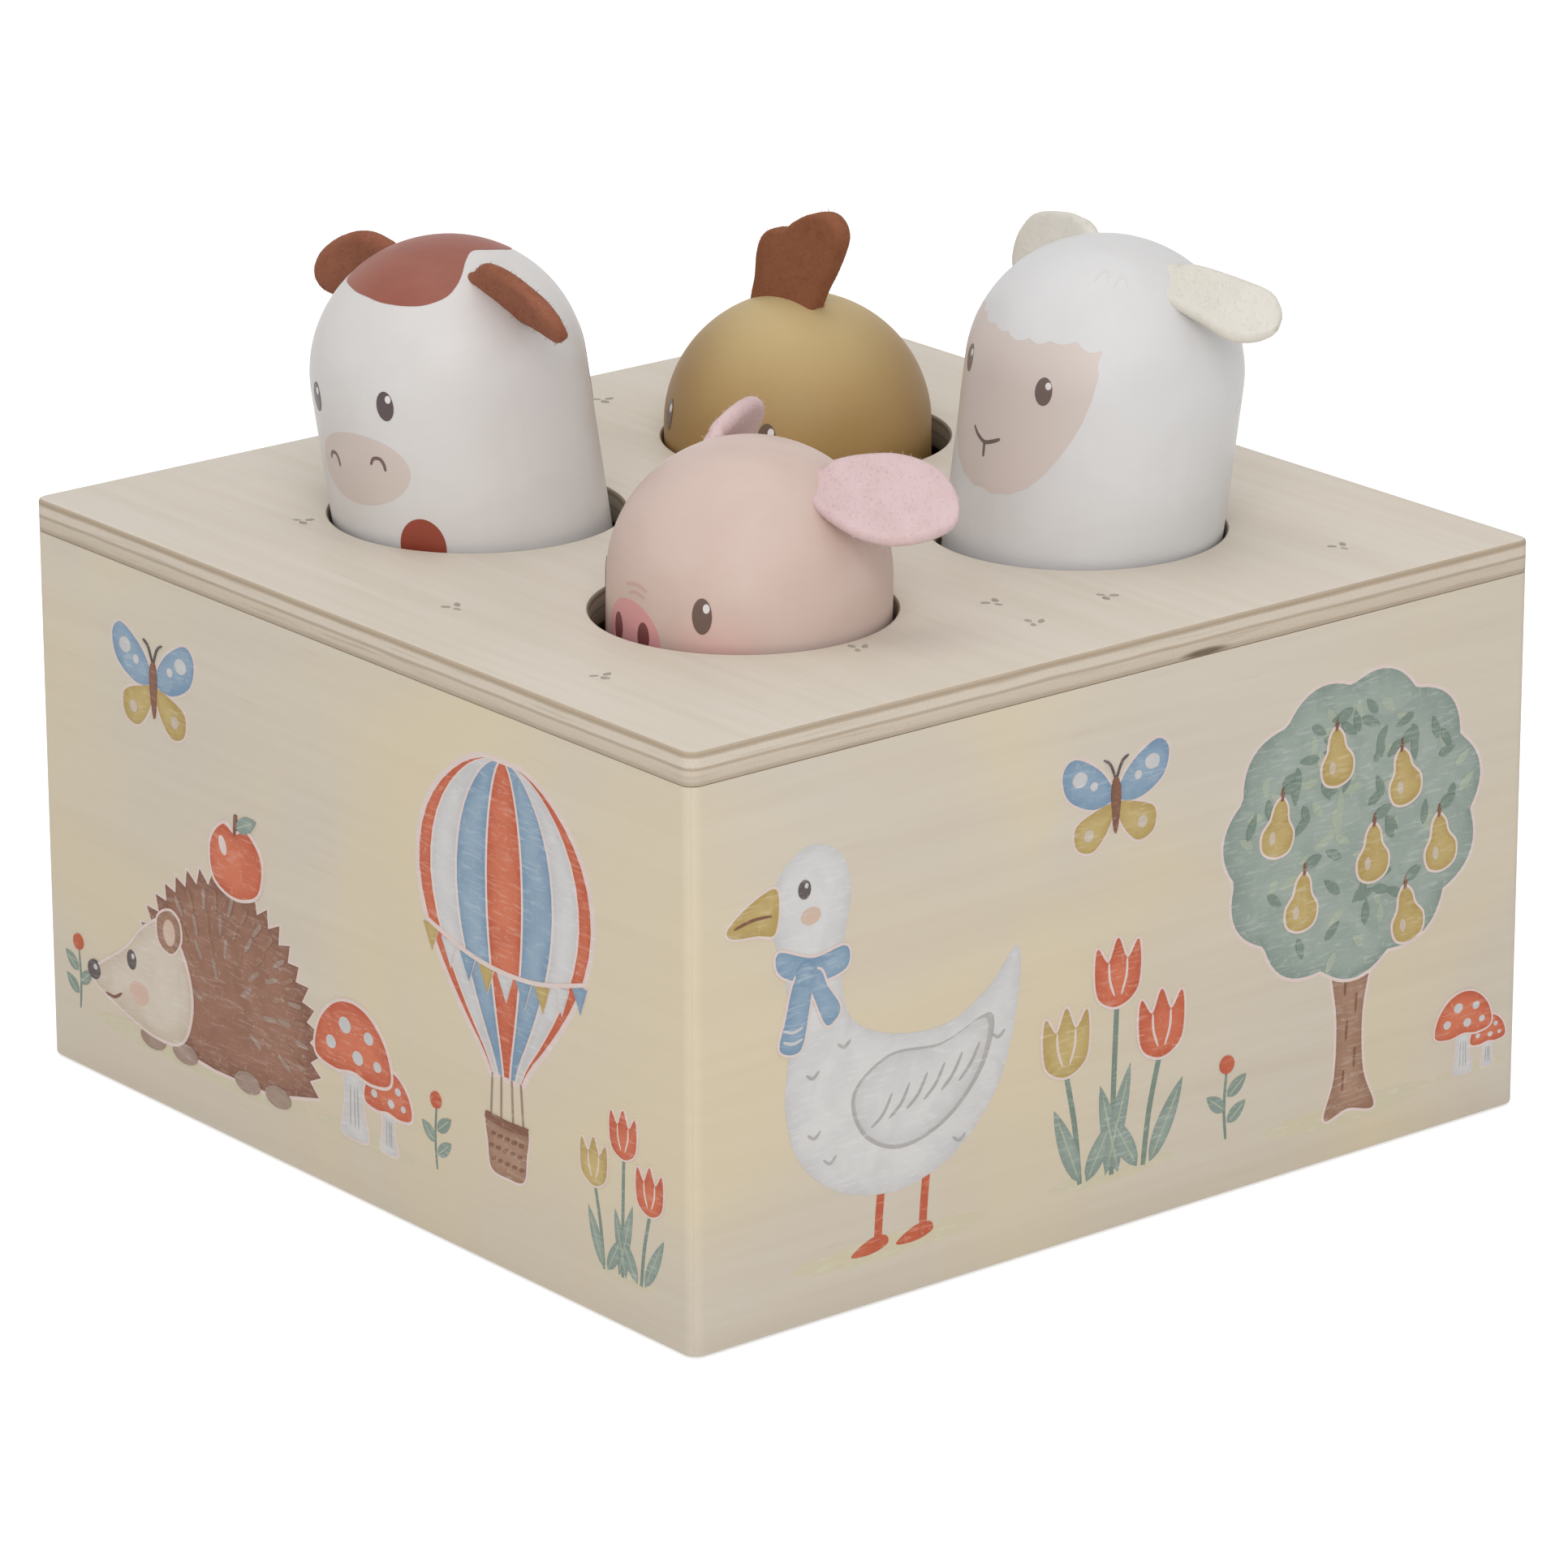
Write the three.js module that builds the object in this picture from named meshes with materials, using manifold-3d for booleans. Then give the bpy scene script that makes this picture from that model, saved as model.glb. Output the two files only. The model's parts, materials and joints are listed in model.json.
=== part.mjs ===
// Pop-up farm animal toy: a plywood box with four turned wooden animals on springs.
// Millimetres, +Z up. The origin is the bottom centre of the box and the animals face -Y.
import * as THREE from "three";
import * as BufferGeometryUtils from "three/addons/utils/BufferGeometryUtils.js";
import Module from "manifold-3d";

const wasm = await Module();
wasm.setup();

// Clearances
const seatGap = 0.3;
const slideClearance = 1.5;
const springClearance = 1.3;
const springPlay = 0.9;

// Box of plywood boards
const boxSide = 150;
const wallHeight = 79;
const wallThickness = 5;
const lidThickness = 5;
const baseThickness = 5;
const cornerRadius = 2;
const lidChamfer = 0.6;

// Round holes in the lid, one in each quarter
const holeRadius = 21;
const holePitchShare = 0.4;
const holePitch = holePitchShare * boxSide;

// Turned wooden animal, one blank for all four
const figureRadius = holeRadius - slideClearance;
const domeHeight = 19;
const figureRise = 42;
const boreDepth = 14;

// Compression spring of steel wire
const wireRadius = 0.35;
const coilRadius = 5.1;
const coilTurns = 7;
const springOuterRadius = coilRadius + wireRadius;
const springInnerRadius = coilRadius - wireRadius;

// Turned wooden spigot that holds the foot of a spring on the base
const spigotFootRadius = 4;
const spigotFootRecess = 0.5;
const spigotFlangeRadius = 8;
const spigotFlangeHeight = 2;
const spigotNoseLength = 10;
const spigotChamfer = 1;

// Turned cap on the head of a spring, which bears on the end of the bore
const capDiscHeight = 2;
const capNoseLength = 6;

// Stop ring, screwed under the animal and wider than its hole
const ringOverlap = 3;
const ringThickness = 4;
const ringRadius = holeRadius + ringOverlap;
const boreRadius = springOuterRadius + springClearance;

// Countersunk wood screws that hold the stop ring
const screwCount = 3;
const screwShankRadius = 1.2;
const screwHeadRadius = 2.4;
const screwHeadDepth = 1.6;
const screwLength = 10;

// Felt ears and comb
const feltThickness = 2.2;
const tabDepth = 5;
const rootSink = 1.5;
const combThickness = 3;
const cowEarLength = 17.3;
const cowEarWidth = 10.2;
const cowEarDepth = 5.6;
const pigEarLength = 18.7;
const pigEarWidth = 15.7;
const pigEarDepth = 4.8;
const sheepEarLength = 17.6;
const sheepEarWidth = 10.1;
const sheepEarDepth = 3.7;

// How far an animal stands below its upper stop
const cowDrop = 2.4;
const pigDrop = 18.3;
const sheepDrop = 0;
const chickenDrop = 21;

// Facets
const figureFacets = 36;
const holeFacets = 40;
const smallFacets = 12;
const screwFacets = 8;
const cornerSteps = 3;
const domeSteps = 9;
const stepsPerTurn = 8;
const wireFacets = 5;
const earRows = 8;
const earColumns = 2;
const tabRows = 2;
const widthSteps = 64;
const lobeSteps = 2;

// Half width of an ear along its length, as [share of the length, share of the half width]
const cowLeafShares = [[0, 0.56], [0.2, 0.98], [0.45, 0.98], [0.75, 0.82], [0.93, 0.53], [1, 0.18]];
const sheepLeafShares = [[0, 0.7], [0.2, 0.81], [0.45, 0.9], [0.75, 0.98], [0.93, 0.62], [1, 0.21]];
const pigLeafShares = [[0, 0.63], [0.2, 0.92], [0.42, 0.97], [0.7, 1], [0.92, 0.55], [1, 0.15]];

// Comb of two lobes seen from the front, as shares of its width and height above its foot
const combWidth = 18;
const combHeight = 16.3;
const combSink = 2.5;
const combAside = -1;
const combForward = 1;
const combTabWidth = 6;
const combOutlineShares = [
  [0.18, 0.01], [0.33, 0.02], [0.37, 0.13], [0.44, 0.28], [0.52, 0.42], [0.62, 0.63], [0.67, 0.8],
  [0.63, 0.93], [0.51, 1], [0.31, 0.96], [0.13, 0.86], [0.02, 0.77], [-0.1, 0.75], [-0.2, 0.7],
  [-0.27, 0.61], [-0.31, 0.47], [-0.33, 0.27], [-0.37, 0.1], [-0.36, 0.02], [-0.19, 0.01],
];

// The four animals. Angles are in degrees, azimuths from the face towards the side that an ear
// is on. An ear's root depth is the distance from the apex down to its root.
const animals = [
  {
    name: "cow", columnSign: -1, rowSign: -1, drop: cowDrop, leanShare: -0.56, shiftShare: -0.9, yaw: -8,
    paint: 0xd2cecb, felt: 0x865340,
    ear: {
      length: cowEarLength, width: cowEarWidth, shares: cowLeafShares,
      rootAzimuth: 96, rootDepth: cowEarDepth, roll: { left: -60, right: -64 },
      azimuth: { left: 101, right: 73 }, slope: { left: -1, right: -7 }, bend: { left: 40, right: 46 },
    },
  },
  {
    name: "pig", columnSign: 1, rowSign: -1, drop: pigDrop, leanShare: 0.06, shiftShare: 0.7, yaw: 5,
    paint: 0xd5c1b7, felt: 0xe1c7c8,
    ear: {
      length: pigEarLength, width: pigEarWidth, shares: pigLeafShares,
      rootAzimuth: 100, rootDepth: pigEarDepth, roll: { left: 27, right: 53 },
      azimuth: { left: 111, right: 147 }, slope: { left: -4, right: 2 }, bend: { left: 22, right: 29 },
    },
  },
  {
    name: "sheep", columnSign: 1, rowSign: 1, drop: sheepDrop, leanShare: 0.48, shiftShare: 0.95, yaw: -1,
    paint: 0xd4d2d1, felt: 0xdddbd3,
    ear: {
      length: sheepEarLength, width: sheepEarWidth, shares: sheepLeafShares,
      rootAzimuth: 97, rootDepth: sheepEarDepth, roll: { left: 34, right: 72 },
      azimuth: { left: 105, right: 100 }, slope: { left: 0, right: 11 }, bend: { left: 14, right: 22 },
    },
  },
  {
    name: "chicken", columnSign: -1, rowSign: 1, drop: chickenDrop, leanShare: 0, shiftShare: -1, yaw: 4,
    paint: 0xb79a69, felt: 0x7c5036,
  },
];

const lidMiddle = wallHeight + lidThickness / 2;

// An animal that stands in the middle of its hole can lean by this angle, in radians.
// A lean share in the table above is a share of it.
const leanSlack = slideClearance - seatGap;
const freeLean = (Math.sqrt((lidThickness / 2) ** 2 + 2 * figureRadius * leanSlack)
  - lidThickness / 2) / figureRadius;
const largestLean = freeLean * Math.max(...animals.map(({ leanShare }) => Math.abs(leanShare)));

// From the underside of the lid down to the foot of an animal on its upper stop
const stopDepth = seatGap + ringRadius * Math.sin(largestLean);
const figureTop = figureRise + lidThickness / 2;
const figureFoot = -stopDepth - lidThickness / 2;
const domeBase = figureTop - domeHeight;
const boreEnd = figureFoot + boreDepth;
const capTop = boreEnd - seatGap;
const springTop = capTop - capDiscHeight - seatGap;
const flangeTop = baseThickness + seatGap + spigotFlangeHeight;
const springFoot = flangeTop + seatGap;

const plyColour = 0xd1c6b5;
const dowelColour = 0xc9b08c;
const steelColour = 0x9a9c9e;

const toy = new THREE.Group();

// Materials

function woodMaterial(colour) {
  return new THREE.MeshStandardMaterial({ color: colour, roughness: 0.65, metalness: 0 });
}

function feltMaterial(colour) {
  return new THREE.MeshStandardMaterial({ color: colour, roughness: 0.95, metalness: 0 });
}

function steelMaterial() {
  return new THREE.MeshStandardMaterial({ color: steelColour, roughness: 0.35, metalness: 1 });
}

// Geometry helpers

function weld(geometry) {
  const bare = geometry.index ? geometry.toNonIndexed() : geometry.clone();
  bare.deleteAttribute("normal");
  bare.deleteAttribute("uv");
  return BufferGeometryUtils.mergeVertices(bare);
}

function toSolid(geometry) {
  const welded = weld(geometry);
  const mesh = new wasm.Mesh({
    numProp: 3,
    vertProperties: welded.attributes.position.array,
    triVerts: new Uint32Array(welded.index.array),
  });
  return new wasm.Manifold(mesh);
}

function toGeometry(solid) {
  const mesh = solid.getMesh();
  const geometry = new THREE.BufferGeometry();
  geometry.setAttribute("position", new THREE.BufferAttribute(mesh.vertProperties, 3));
  geometry.setIndex(new THREE.BufferAttribute(mesh.triVerts, 1));
  geometry.computeVertexNormals();
  return geometry;
}

function cut(geometry, tools) {
  let solid = toSolid(geometry);
  for (const tool of tools) {
    solid = solid.subtract(toSolid(tool));
  }
  return toGeometry(solid);
}

// Points of a circle or an arc, as Vector2
function arc(centreX, centreY, radius, start, sweep, steps) {
  const points = [];
  for (let step = 0; step <= steps; step += 1) {
    const angle = start + (sweep * step) / steps;
    points.push(new THREE.Vector2(centreX + radius * Math.cos(angle), centreY + radius * Math.sin(angle)));
  }
  return points;
}

function circle(centreX, centreY, radius, facets) {
  return arc(centreX, centreY, radius, 0, 2 * Math.PI, facets).slice(0, facets);
}

// A piece turned about Z from a profile of [radius, height] pairs that runs upwards
function turned(profile, facets) {
  const points = profile.map(([radius, height]) => new THREE.Vector2(radius, height));
  return new THREE.LatheGeometry(points, facets).rotateX(Math.PI / 2);
}

function board(outline, thickness) {
  return new THREE.ExtrudeGeometry(new THREE.Shape(outline), { depth: thickness, bevelEnabled: false });
}

// A bent sheet of even thickness over a grid: pointAt(along, across) gives its middle surface
function bentSheet(pointAt, thickness, rows, columns) {
  const side = columns + 1;
  const middle = [];
  for (let row = 0; row <= rows; row += 1) {
    for (let column = 0; column <= columns; column += 1) {
      middle.push(pointAt(row / rows, (2 * column) / columns - 1));
    }
  }
  const at = (row, column) => middle[row * side + column];
  const top = [];
  const bottom = [];
  for (let row = 0; row <= rows; row += 1) {
    for (let column = 0; column <= columns; column += 1) {
      const along = at(Math.min(row + 1, rows), column).clone().sub(at(Math.max(row - 1, 0), column));
      const across = at(row, Math.min(column + 1, columns)).clone().sub(at(row, Math.max(column - 1, 0)));
      const offset = along.cross(across).normalize().multiplyScalar(thickness / 2);
      top.push(at(row, column).clone().add(offset));
      bottom.push(at(row, column).clone().sub(offset));
    }
  }
  const triangles = [];
  const quad = (a, b, c, d) => triangles.push(a, b, c, a, c, d);
  const lower = middle.length;
  for (let row = 0; row < rows; row += 1) {
    for (let column = 0; column < columns; column += 1) {
      const a = row * side + column;
      quad(a, a + side, a + side + 1, a + 1);
      quad(lower + a, lower + a + 1, lower + a + side + 1, lower + a + side);
    }
    const left = row * side;
    const right = left + columns;
    quad(left, lower + left, lower + left + side, left + side);
    quad(right, right + side, lower + right + side, lower + right);
  }
  for (let column = 0; column < columns; column += 1) {
    const tip = rows * side + column;
    quad(column, column + 1, lower + column + 1, lower + column);
    quad(tip, lower + tip, lower + tip + 1, tip + 1);
  }
  const geometry = new THREE.BufferGeometry().setFromPoints([...top, ...bottom]);
  geometry.setIndex(triangles);
  geometry.computeVertexNormals();
  return geometry;
}

function add(parent, name, geometry, material) {
  const mesh = new THREE.Mesh(geometry, material);
  mesh.name = name;
  parent.add(mesh);
  return mesh;
}

// Box

const halfSide = boxSide / 2;
const innerSide = boxSide - 2 * wallThickness;

function squareOutline() {
  const inset = halfSide - cornerRadius;
  const quarter = Math.PI / 2;
  return [
    ...arc(inset, -inset, cornerRadius, -quarter, quarter, cornerSteps),
    ...arc(inset, inset, cornerRadius, 0, quarter, cornerSteps),
    ...arc(-inset, inset, cornerRadius, quarter, quarter, cornerSteps),
    ...arc(-inset, -inset, cornerRadius, 2 * quarter, quarter, cornerSteps),
  ];
}

function holeCentre({ columnSign, rowSign }) {
  return new THREE.Vector3((columnSign * holePitch) / 2, (rowSign * holePitch) / 2, 0);
}

function lid() {
  const shape = new THREE.Shape(squareOutline());
  for (const { x, y } of animals.map(holeCentre)) {
    shape.holes.push(new THREE.Path(circle(x, y, holeRadius, holeFacets)));
  }
  const geometry = new THREE.ExtrudeGeometry(shape, {
    depth: lidThickness - seatGap - 2 * lidChamfer,
    bevelThickness: lidChamfer,
    bevelSize: lidChamfer,
    bevelOffset: -lidChamfer,
    bevelSegments: 1,
  });
  return geometry.translate(0, 0, wallHeight + seatGap + lidChamfer);
}

// The front wall, mitred at both ends, with half of each rounded corner of the box
function wall() {
  const inset = halfSide - cornerRadius;
  const innerHalf = innerSide / 2;
  const mitreSetback = seatGap / Math.SQRT2;
  const eighth = Math.PI / 4 - Math.asin(seatGap / 2 / cornerRadius);
  const outline = [
    ...arc(-inset, -inset, cornerRadius, -Math.PI / 2 - eighth, eighth, cornerSteps),
    ...arc(inset, -inset, cornerRadius, -Math.PI / 2, eighth, cornerSteps),
    new THREE.Vector2(innerHalf - mitreSetback, -innerHalf),
    new THREE.Vector2(mitreSetback - innerHalf, -innerHalf),
  ];
  return board(outline, wallHeight);
}

function basePlate() {
  const half = innerSide / 2 - seatGap;
  const corners = [[-half, -half], [half, -half], [half, half], [-half, half]];
  const shape = new THREE.Shape(corners.map(([x, y]) => new THREE.Vector2(x, y)));
  for (const { x, y } of animals.map(holeCentre)) {
    shape.holes.push(new THREE.Path(circle(x, y, spigotFootRadius + seatGap, smallFacets)));
  }
  return new THREE.ExtrudeGeometry(shape, { depth: baseThickness, bevelEnabled: false });
}

function addBox() {
  const ply = woodMaterial(plyColour);
  add(toy, "lid_plate", lid(), ply);
  add(toy, "base_plate", basePlate(), ply);
  for (const [turns, side] of ["front", "right", "back", "left"].entries()) {
    add(toy, `${side}_wall`, wall(), ply).rotation.z = (turns * Math.PI) / 2;
  }
}

// Springs and what holds them

function spigot() {
  const footEnd = baseThickness + seatGap;
  const noseRadius = springInnerRadius - springPlay;
  const noseTop = flangeTop + spigotNoseLength;
  return turned([
    [0, spigotFootRecess],
    [spigotFootRadius, spigotFootRecess],
    [spigotFootRadius, footEnd],
    [spigotFlangeRadius, footEnd],
    [spigotFlangeRadius, flangeTop],
    [noseRadius, flangeTop],
    [noseRadius, noseTop - spigotChamfer],
    [noseRadius - spigotChamfer, noseTop],
    [0, noseTop],
  ], smallFacets);
}

function springCap() {
  const discRadius = boreRadius - seatGap;
  const discFoot = capTop - capDiscHeight;
  const noseRadius = springInnerRadius - springPlay;
  return turned([
    [0, discFoot - capNoseLength],
    [noseRadius - spigotChamfer, discFoot - capNoseLength],
    [noseRadius, discFoot - capNoseLength + spigotChamfer],
    [noseRadius, discFoot],
    [discRadius, discFoot],
    [discRadius, capTop],
    [0, capTop],
  ], smallFacets);
}

// Wire wound about a middle line that leaves the base upright and meets the cap square on
class CoilCurve extends THREE.Curve {
  constructor(foot, head, headDirection) {
    super();
    const reach = foot.distanceTo(head) / 3;
    const upright = foot.clone().add(new THREE.Vector3(0, 0, reach));
    const square = head.clone().addScaledVector(headDirection, -reach);
    this.middle = new THREE.CubicBezierCurve3(foot, upright, square, head);
  }

  getPoint(share, target = new THREE.Vector3()) {
    const direction = this.middle.getTangent(share);
    const sideways = new THREE.Vector3(0, 1, 0).cross(direction).normalize();
    const forwards = direction.clone().cross(sideways);
    const angle = 2 * Math.PI * coilTurns * share;
    return target
      .copy(this.middle.getPoint(share))
      .addScaledVector(sideways, coilRadius * Math.cos(angle))
      .addScaledVector(forwards, coilRadius * Math.sin(angle));
  }
}

function spring(foot, head, headDirection) {
  const section = new THREE.Shape(circle(0, 0, wireRadius, wireFacets));
  const extrudePath = new CoilCurve(foot, head, headDirection);
  return new THREE.ExtrudeGeometry(section, { steps: coilTurns * stepsPerTurn, extrudePath });
}

// Animals

// Radius of the turned blank at a height of its own frame
function radiusAt(height) {
  const rise = Math.max(height - domeBase, 0) / domeHeight;
  return figureRadius * Math.sqrt(Math.max(1 - rise ** 2, 0));
}

function blank() {
  const profile = [[0, figureFoot], [figureRadius, figureFoot]];
  for (let step = 0; step < domeSteps; step += 1) {
    const angle = ((Math.PI / 2) * step) / domeSteps;
    profile.push([figureRadius * Math.cos(angle), domeBase + domeHeight * Math.sin(angle)]);
  }
  profile.push([0, figureTop]);
  return turned(profile, figureFacets);
}

// Screw with its head down, from its head's face up, grown on every side by a clearance
function screwShape(growth) {
  const headFace = -growth;
  return turned([
    [0, headFace],
    [screwHeadRadius + growth, headFace],
    [screwShankRadius + growth, screwHeadDepth + growth],
    [screwShankRadius + growth, screwLength + growth],
    [0, screwLength + growth],
  ], screwFacets);
}

function placedScrews(growth) {
  const ringFoot = figureFoot - seatGap - ringThickness;
  const circleRadius = (boreRadius + figureRadius) / 2;
  const screws = [];
  for (let index = 0; index < screwCount; index += 1) {
    const angle = (2 * Math.PI * index) / screwCount;
    const screw = screwShape(growth);
    screws.push(screw.translate(circleRadius * Math.cos(angle), circleRadius * Math.sin(angle), ringFoot));
  }
  return screws;
}

function stopRing() {
  const ringTop = figureFoot - seatGap;
  const shape = new THREE.Shape(circle(0, 0, ringRadius, figureFacets));
  shape.holes.push(new THREE.Path(circle(0, 0, boreRadius, smallFacets)));
  const ring = new THREE.ExtrudeGeometry(shape, { depth: ringThickness, bevelEnabled: false });
  return cut(ring.translate(0, 0, ringTop - ringThickness), placedScrews(seatGap));
}

function springBore() {
  return turned([
    [0, figureFoot - seatGap],
    [boreRadius, figureFoot - seatGap],
    [boreRadius, boreEnd],
    [0, boreEnd],
  ], smallFacets);
}

// Half width of an ear at a share of its length, smoothed through its share table
function leafHalfWidth(ear, share) {
  const line = new THREE.SplineCurve(ear.shares.map(([along, wide]) => new THREE.Vector2(along, wide)));
  let best = line.getPoint(0);
  for (let step = 1; step <= widthSteps; step += 1) {
    const point = line.getPoint(step / widthSteps);
    if (Math.abs(point.x - share) < Math.abs(best.x - share)) {
      best = point;
    }
  }
  return (ear.width / 2) * best.y;
}

// An ear runs out along +X of its own frame and bends down on an even arc, after a straight tab.
// Its width is rolled about that middle line, so that its upper edge leans forward or back.
function earSheet(ear, hand, growth) {
  const rows = earRows + tabRows;
  const bend = THREE.MathUtils.degToRad(ear.bend[hand]);
  const roll = THREE.MathUtils.degToRad(ear.roll[hand]) * (hand === "left" ? 1 : -1);
  const arcRadius = ear.length / bend;
  const pointAt = (along, across) => {
    const row = along * rows;
    const onTab = row < tabRows;
    const share = onTab ? 0 : (row - tabRows) / earRows;
    const overrun = growth * (2 * along - 1);
    const distance = onTab ? (tabDepth * row) / tabRows - tabDepth + overrun : overrun;
    const slope = bend * share;
    const half = across * (leafHalfWidth(ear, share) + growth);
    const lift = half * Math.sin(roll);
    return new THREE.Vector3(
      arcRadius * Math.sin(slope) + distance * Math.cos(slope) + lift * Math.sin(slope),
      half * Math.cos(roll),
      arcRadius * (Math.cos(slope) - 1) - distance * Math.sin(slope) + lift * Math.cos(slope),
    );
  };
  return bentSheet(pointAt, feltThickness + 2 * growth, rows, earColumns);
}

// Places an ear with its root sunk a little into the head
function placeEar(geometry, ear, hand) {
  const side = hand === "left" ? 1 : -1;
  const height = figureTop - ear.rootDepth;
  const rootRadius = radiusAt(height) - rootSink;
  const rootAngle = THREE.MathUtils.degToRad(ear.rootAzimuth) * side - Math.PI / 2;
  const angle = THREE.MathUtils.degToRad(ear.azimuth[hand]) * side - Math.PI / 2;
  const slope = THREE.MathUtils.degToRad(ear.slope[hand]);
  const root = new THREE.Vector3(Math.cos(rootAngle) * rootRadius, Math.sin(rootAngle) * rootRadius, height);
  const turn = new THREE.Euler(0, slope, angle, "ZYX");
  return geometry.applyMatrix4(new THREE.Matrix4().makeRotationFromEuler(turn).setPosition(root));
}

function ear(animal, hand, growth) {
  return placeEar(earSheet(animal.ear, hand, growth), animal.ear, hand);
}

// Comb across the head, with a tab that sinks into it
function combPlate(growth) {
  const foot = -combSink;
  const outline = combOutlineShares.map(([along, up]) => (
    new THREE.Vector2(combAside + along * combWidth, foot + up * combHeight)
  ));
  const lobes = new THREE.SplineCurve(outline).getPoints(outline.length * lobeSteps);
  const tab = [
    new THREE.Vector2(combAside - combTabWidth / 2 - growth, foot - tabDepth - growth),
    new THREE.Vector2(combAside + combTabWidth / 2 + growth, foot - tabDepth - growth),
  ];
  const plate = board([...tab, ...lobes], combThickness + 2 * growth);
  return plate
    .translate(0, 0, -combThickness / 2 - growth)
    .applyMatrix4(new THREE.Matrix4().makeBasis(
      new THREE.Vector3(1, 0, 0),
      new THREE.Vector3(0, 0, 1),
      new THREE.Vector3(0, -1, 0),
    ))
    .translate(0, -combForward, figureTop);
}

function figureBody(animal) {
  const tools = [springBore(), ...placedScrews(seatGap)];
  if (animal.ear) {
    tools.push(ear(animal, "left", seatGap), ear(animal, "right", seatGap));
  } else {
    tools.push(combPlate(seatGap));
  }
  return cut(blank(), tools);
}

// Sideways play that is left in the hole when an animal leans by an angle in radians
function playLeft(angle) {
  const reach = figureRadius / Math.cos(angle) + (lidThickness / 2) * Math.tan(Math.abs(angle));
  return holeRadius - seatGap - reach;
}

// The diagonal that the animals lean and shift along
const diagonal = new THREE.Vector3(1, 1, 0).normalize();
const leanAxis = new THREE.Vector3(0, 0, 1).cross(diagonal);

function addAnimal(animal) {
  const { name } = animal;
  const hole = holeCentre(animal);
  const leanAngle = animal.leanShare * freeLean;
  const lean = new THREE.Quaternion().setFromAxisAngle(leanAxis, leanAngle);
  const yaw = new THREE.Quaternion().setFromAxisAngle(
    new THREE.Vector3(0, 0, 1),
    THREE.MathUtils.degToRad(animal.yaw),
  );
  const axis = new THREE.Vector3(0, 0, 1).applyQuaternion(lean);
  const seat = hole.clone().addScaledVector(diagonal, animal.shiftShare * playLeft(leanAngle));
  seat.z = lidMiddle;

  const figure = new THREE.Group();
  figure.quaternion.copy(lean).multiply(yaw);
  figure.position.copy(seat).addScaledVector(axis, -animal.drop);
  toy.add(figure);

  const dowel = woodMaterial(dowelColour);
  const felt = feltMaterial(animal.felt);
  add(figure, `${name}_body`, figureBody(animal), woodMaterial(animal.paint));
  if (animal.ear) {
    add(figure, `${name}_left_ear`, ear(animal, "left", 0), felt);
    add(figure, `${name}_right_ear`, ear(animal, "right", 0), felt);
  } else {
    add(figure, `${name}_comb`, combPlate(0), felt);
  }
  add(figure, `${name}_stop_ring`, stopRing(), woodMaterial(plyColour));
  placedScrews(0).forEach((screw, index) => {
    add(figure, `${name}_ring_screw_${index + 1}`, screw, steelMaterial());
  });
  add(figure, `${name}_spring_cap`, springCap(), dowel);

  const foot = hole.clone();
  foot.z = springFoot + wireRadius;
  const head = figure.position.clone().addScaledVector(axis, springTop - wireRadius);
  add(toy, `${name}_spring`, spring(foot, head, axis), steelMaterial());
  add(toy, `${name}_spring_spigot`, spigot(), dowel).position.copy(hole);
}

addBox();
for (const animal of animals) {
  addAnimal(animal);
}

export default toy;
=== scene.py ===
"""Pop-up animal toy: the dressed model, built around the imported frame.

Sizes are in millimetres and angles in degrees in the classes below; meshes are in metres.
An azimuth on an animal runs from its face, at 0, towards its left side.
"""

import json
import logging
import math
import random
from dataclasses import dataclass, field, replace
from enum import Enum
from functools import cache
from typing import Callable, Sequence

import bpy
import numpy as np
from mathutils import Matrix, Vector, geometry, noise


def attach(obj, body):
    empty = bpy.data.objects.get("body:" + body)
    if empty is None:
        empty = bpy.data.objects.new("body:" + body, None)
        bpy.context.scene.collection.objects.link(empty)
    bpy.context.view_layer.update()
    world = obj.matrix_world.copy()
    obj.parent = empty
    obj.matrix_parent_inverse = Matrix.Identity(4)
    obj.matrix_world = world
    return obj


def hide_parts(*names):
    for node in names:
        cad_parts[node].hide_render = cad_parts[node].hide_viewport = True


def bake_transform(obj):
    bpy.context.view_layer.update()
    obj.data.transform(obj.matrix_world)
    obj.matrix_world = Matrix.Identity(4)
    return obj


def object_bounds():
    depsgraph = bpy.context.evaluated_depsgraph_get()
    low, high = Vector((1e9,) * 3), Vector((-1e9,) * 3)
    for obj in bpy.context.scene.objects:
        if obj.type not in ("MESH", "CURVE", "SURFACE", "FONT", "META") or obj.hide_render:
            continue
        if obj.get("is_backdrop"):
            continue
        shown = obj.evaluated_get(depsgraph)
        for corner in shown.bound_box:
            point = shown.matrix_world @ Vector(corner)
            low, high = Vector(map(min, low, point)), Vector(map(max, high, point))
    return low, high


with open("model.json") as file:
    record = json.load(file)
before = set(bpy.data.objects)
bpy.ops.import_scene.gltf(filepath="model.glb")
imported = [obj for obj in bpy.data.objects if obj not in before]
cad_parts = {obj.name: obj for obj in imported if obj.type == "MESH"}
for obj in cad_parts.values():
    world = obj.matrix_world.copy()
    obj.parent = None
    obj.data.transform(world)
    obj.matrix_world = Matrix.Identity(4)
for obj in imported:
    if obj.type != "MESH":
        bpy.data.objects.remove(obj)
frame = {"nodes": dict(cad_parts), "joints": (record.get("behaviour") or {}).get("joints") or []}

log = logging.getLogger("toy")

MM = 0.001
Point = tuple[float, float]
Outline = Sequence[Point]
Colour = tuple[int, int, int]
Socket = bpy.types.NodeSocket
Material = bpy.types.Material
Mesh = bpy.types.Mesh
Piece = bpy.types.Object


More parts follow.
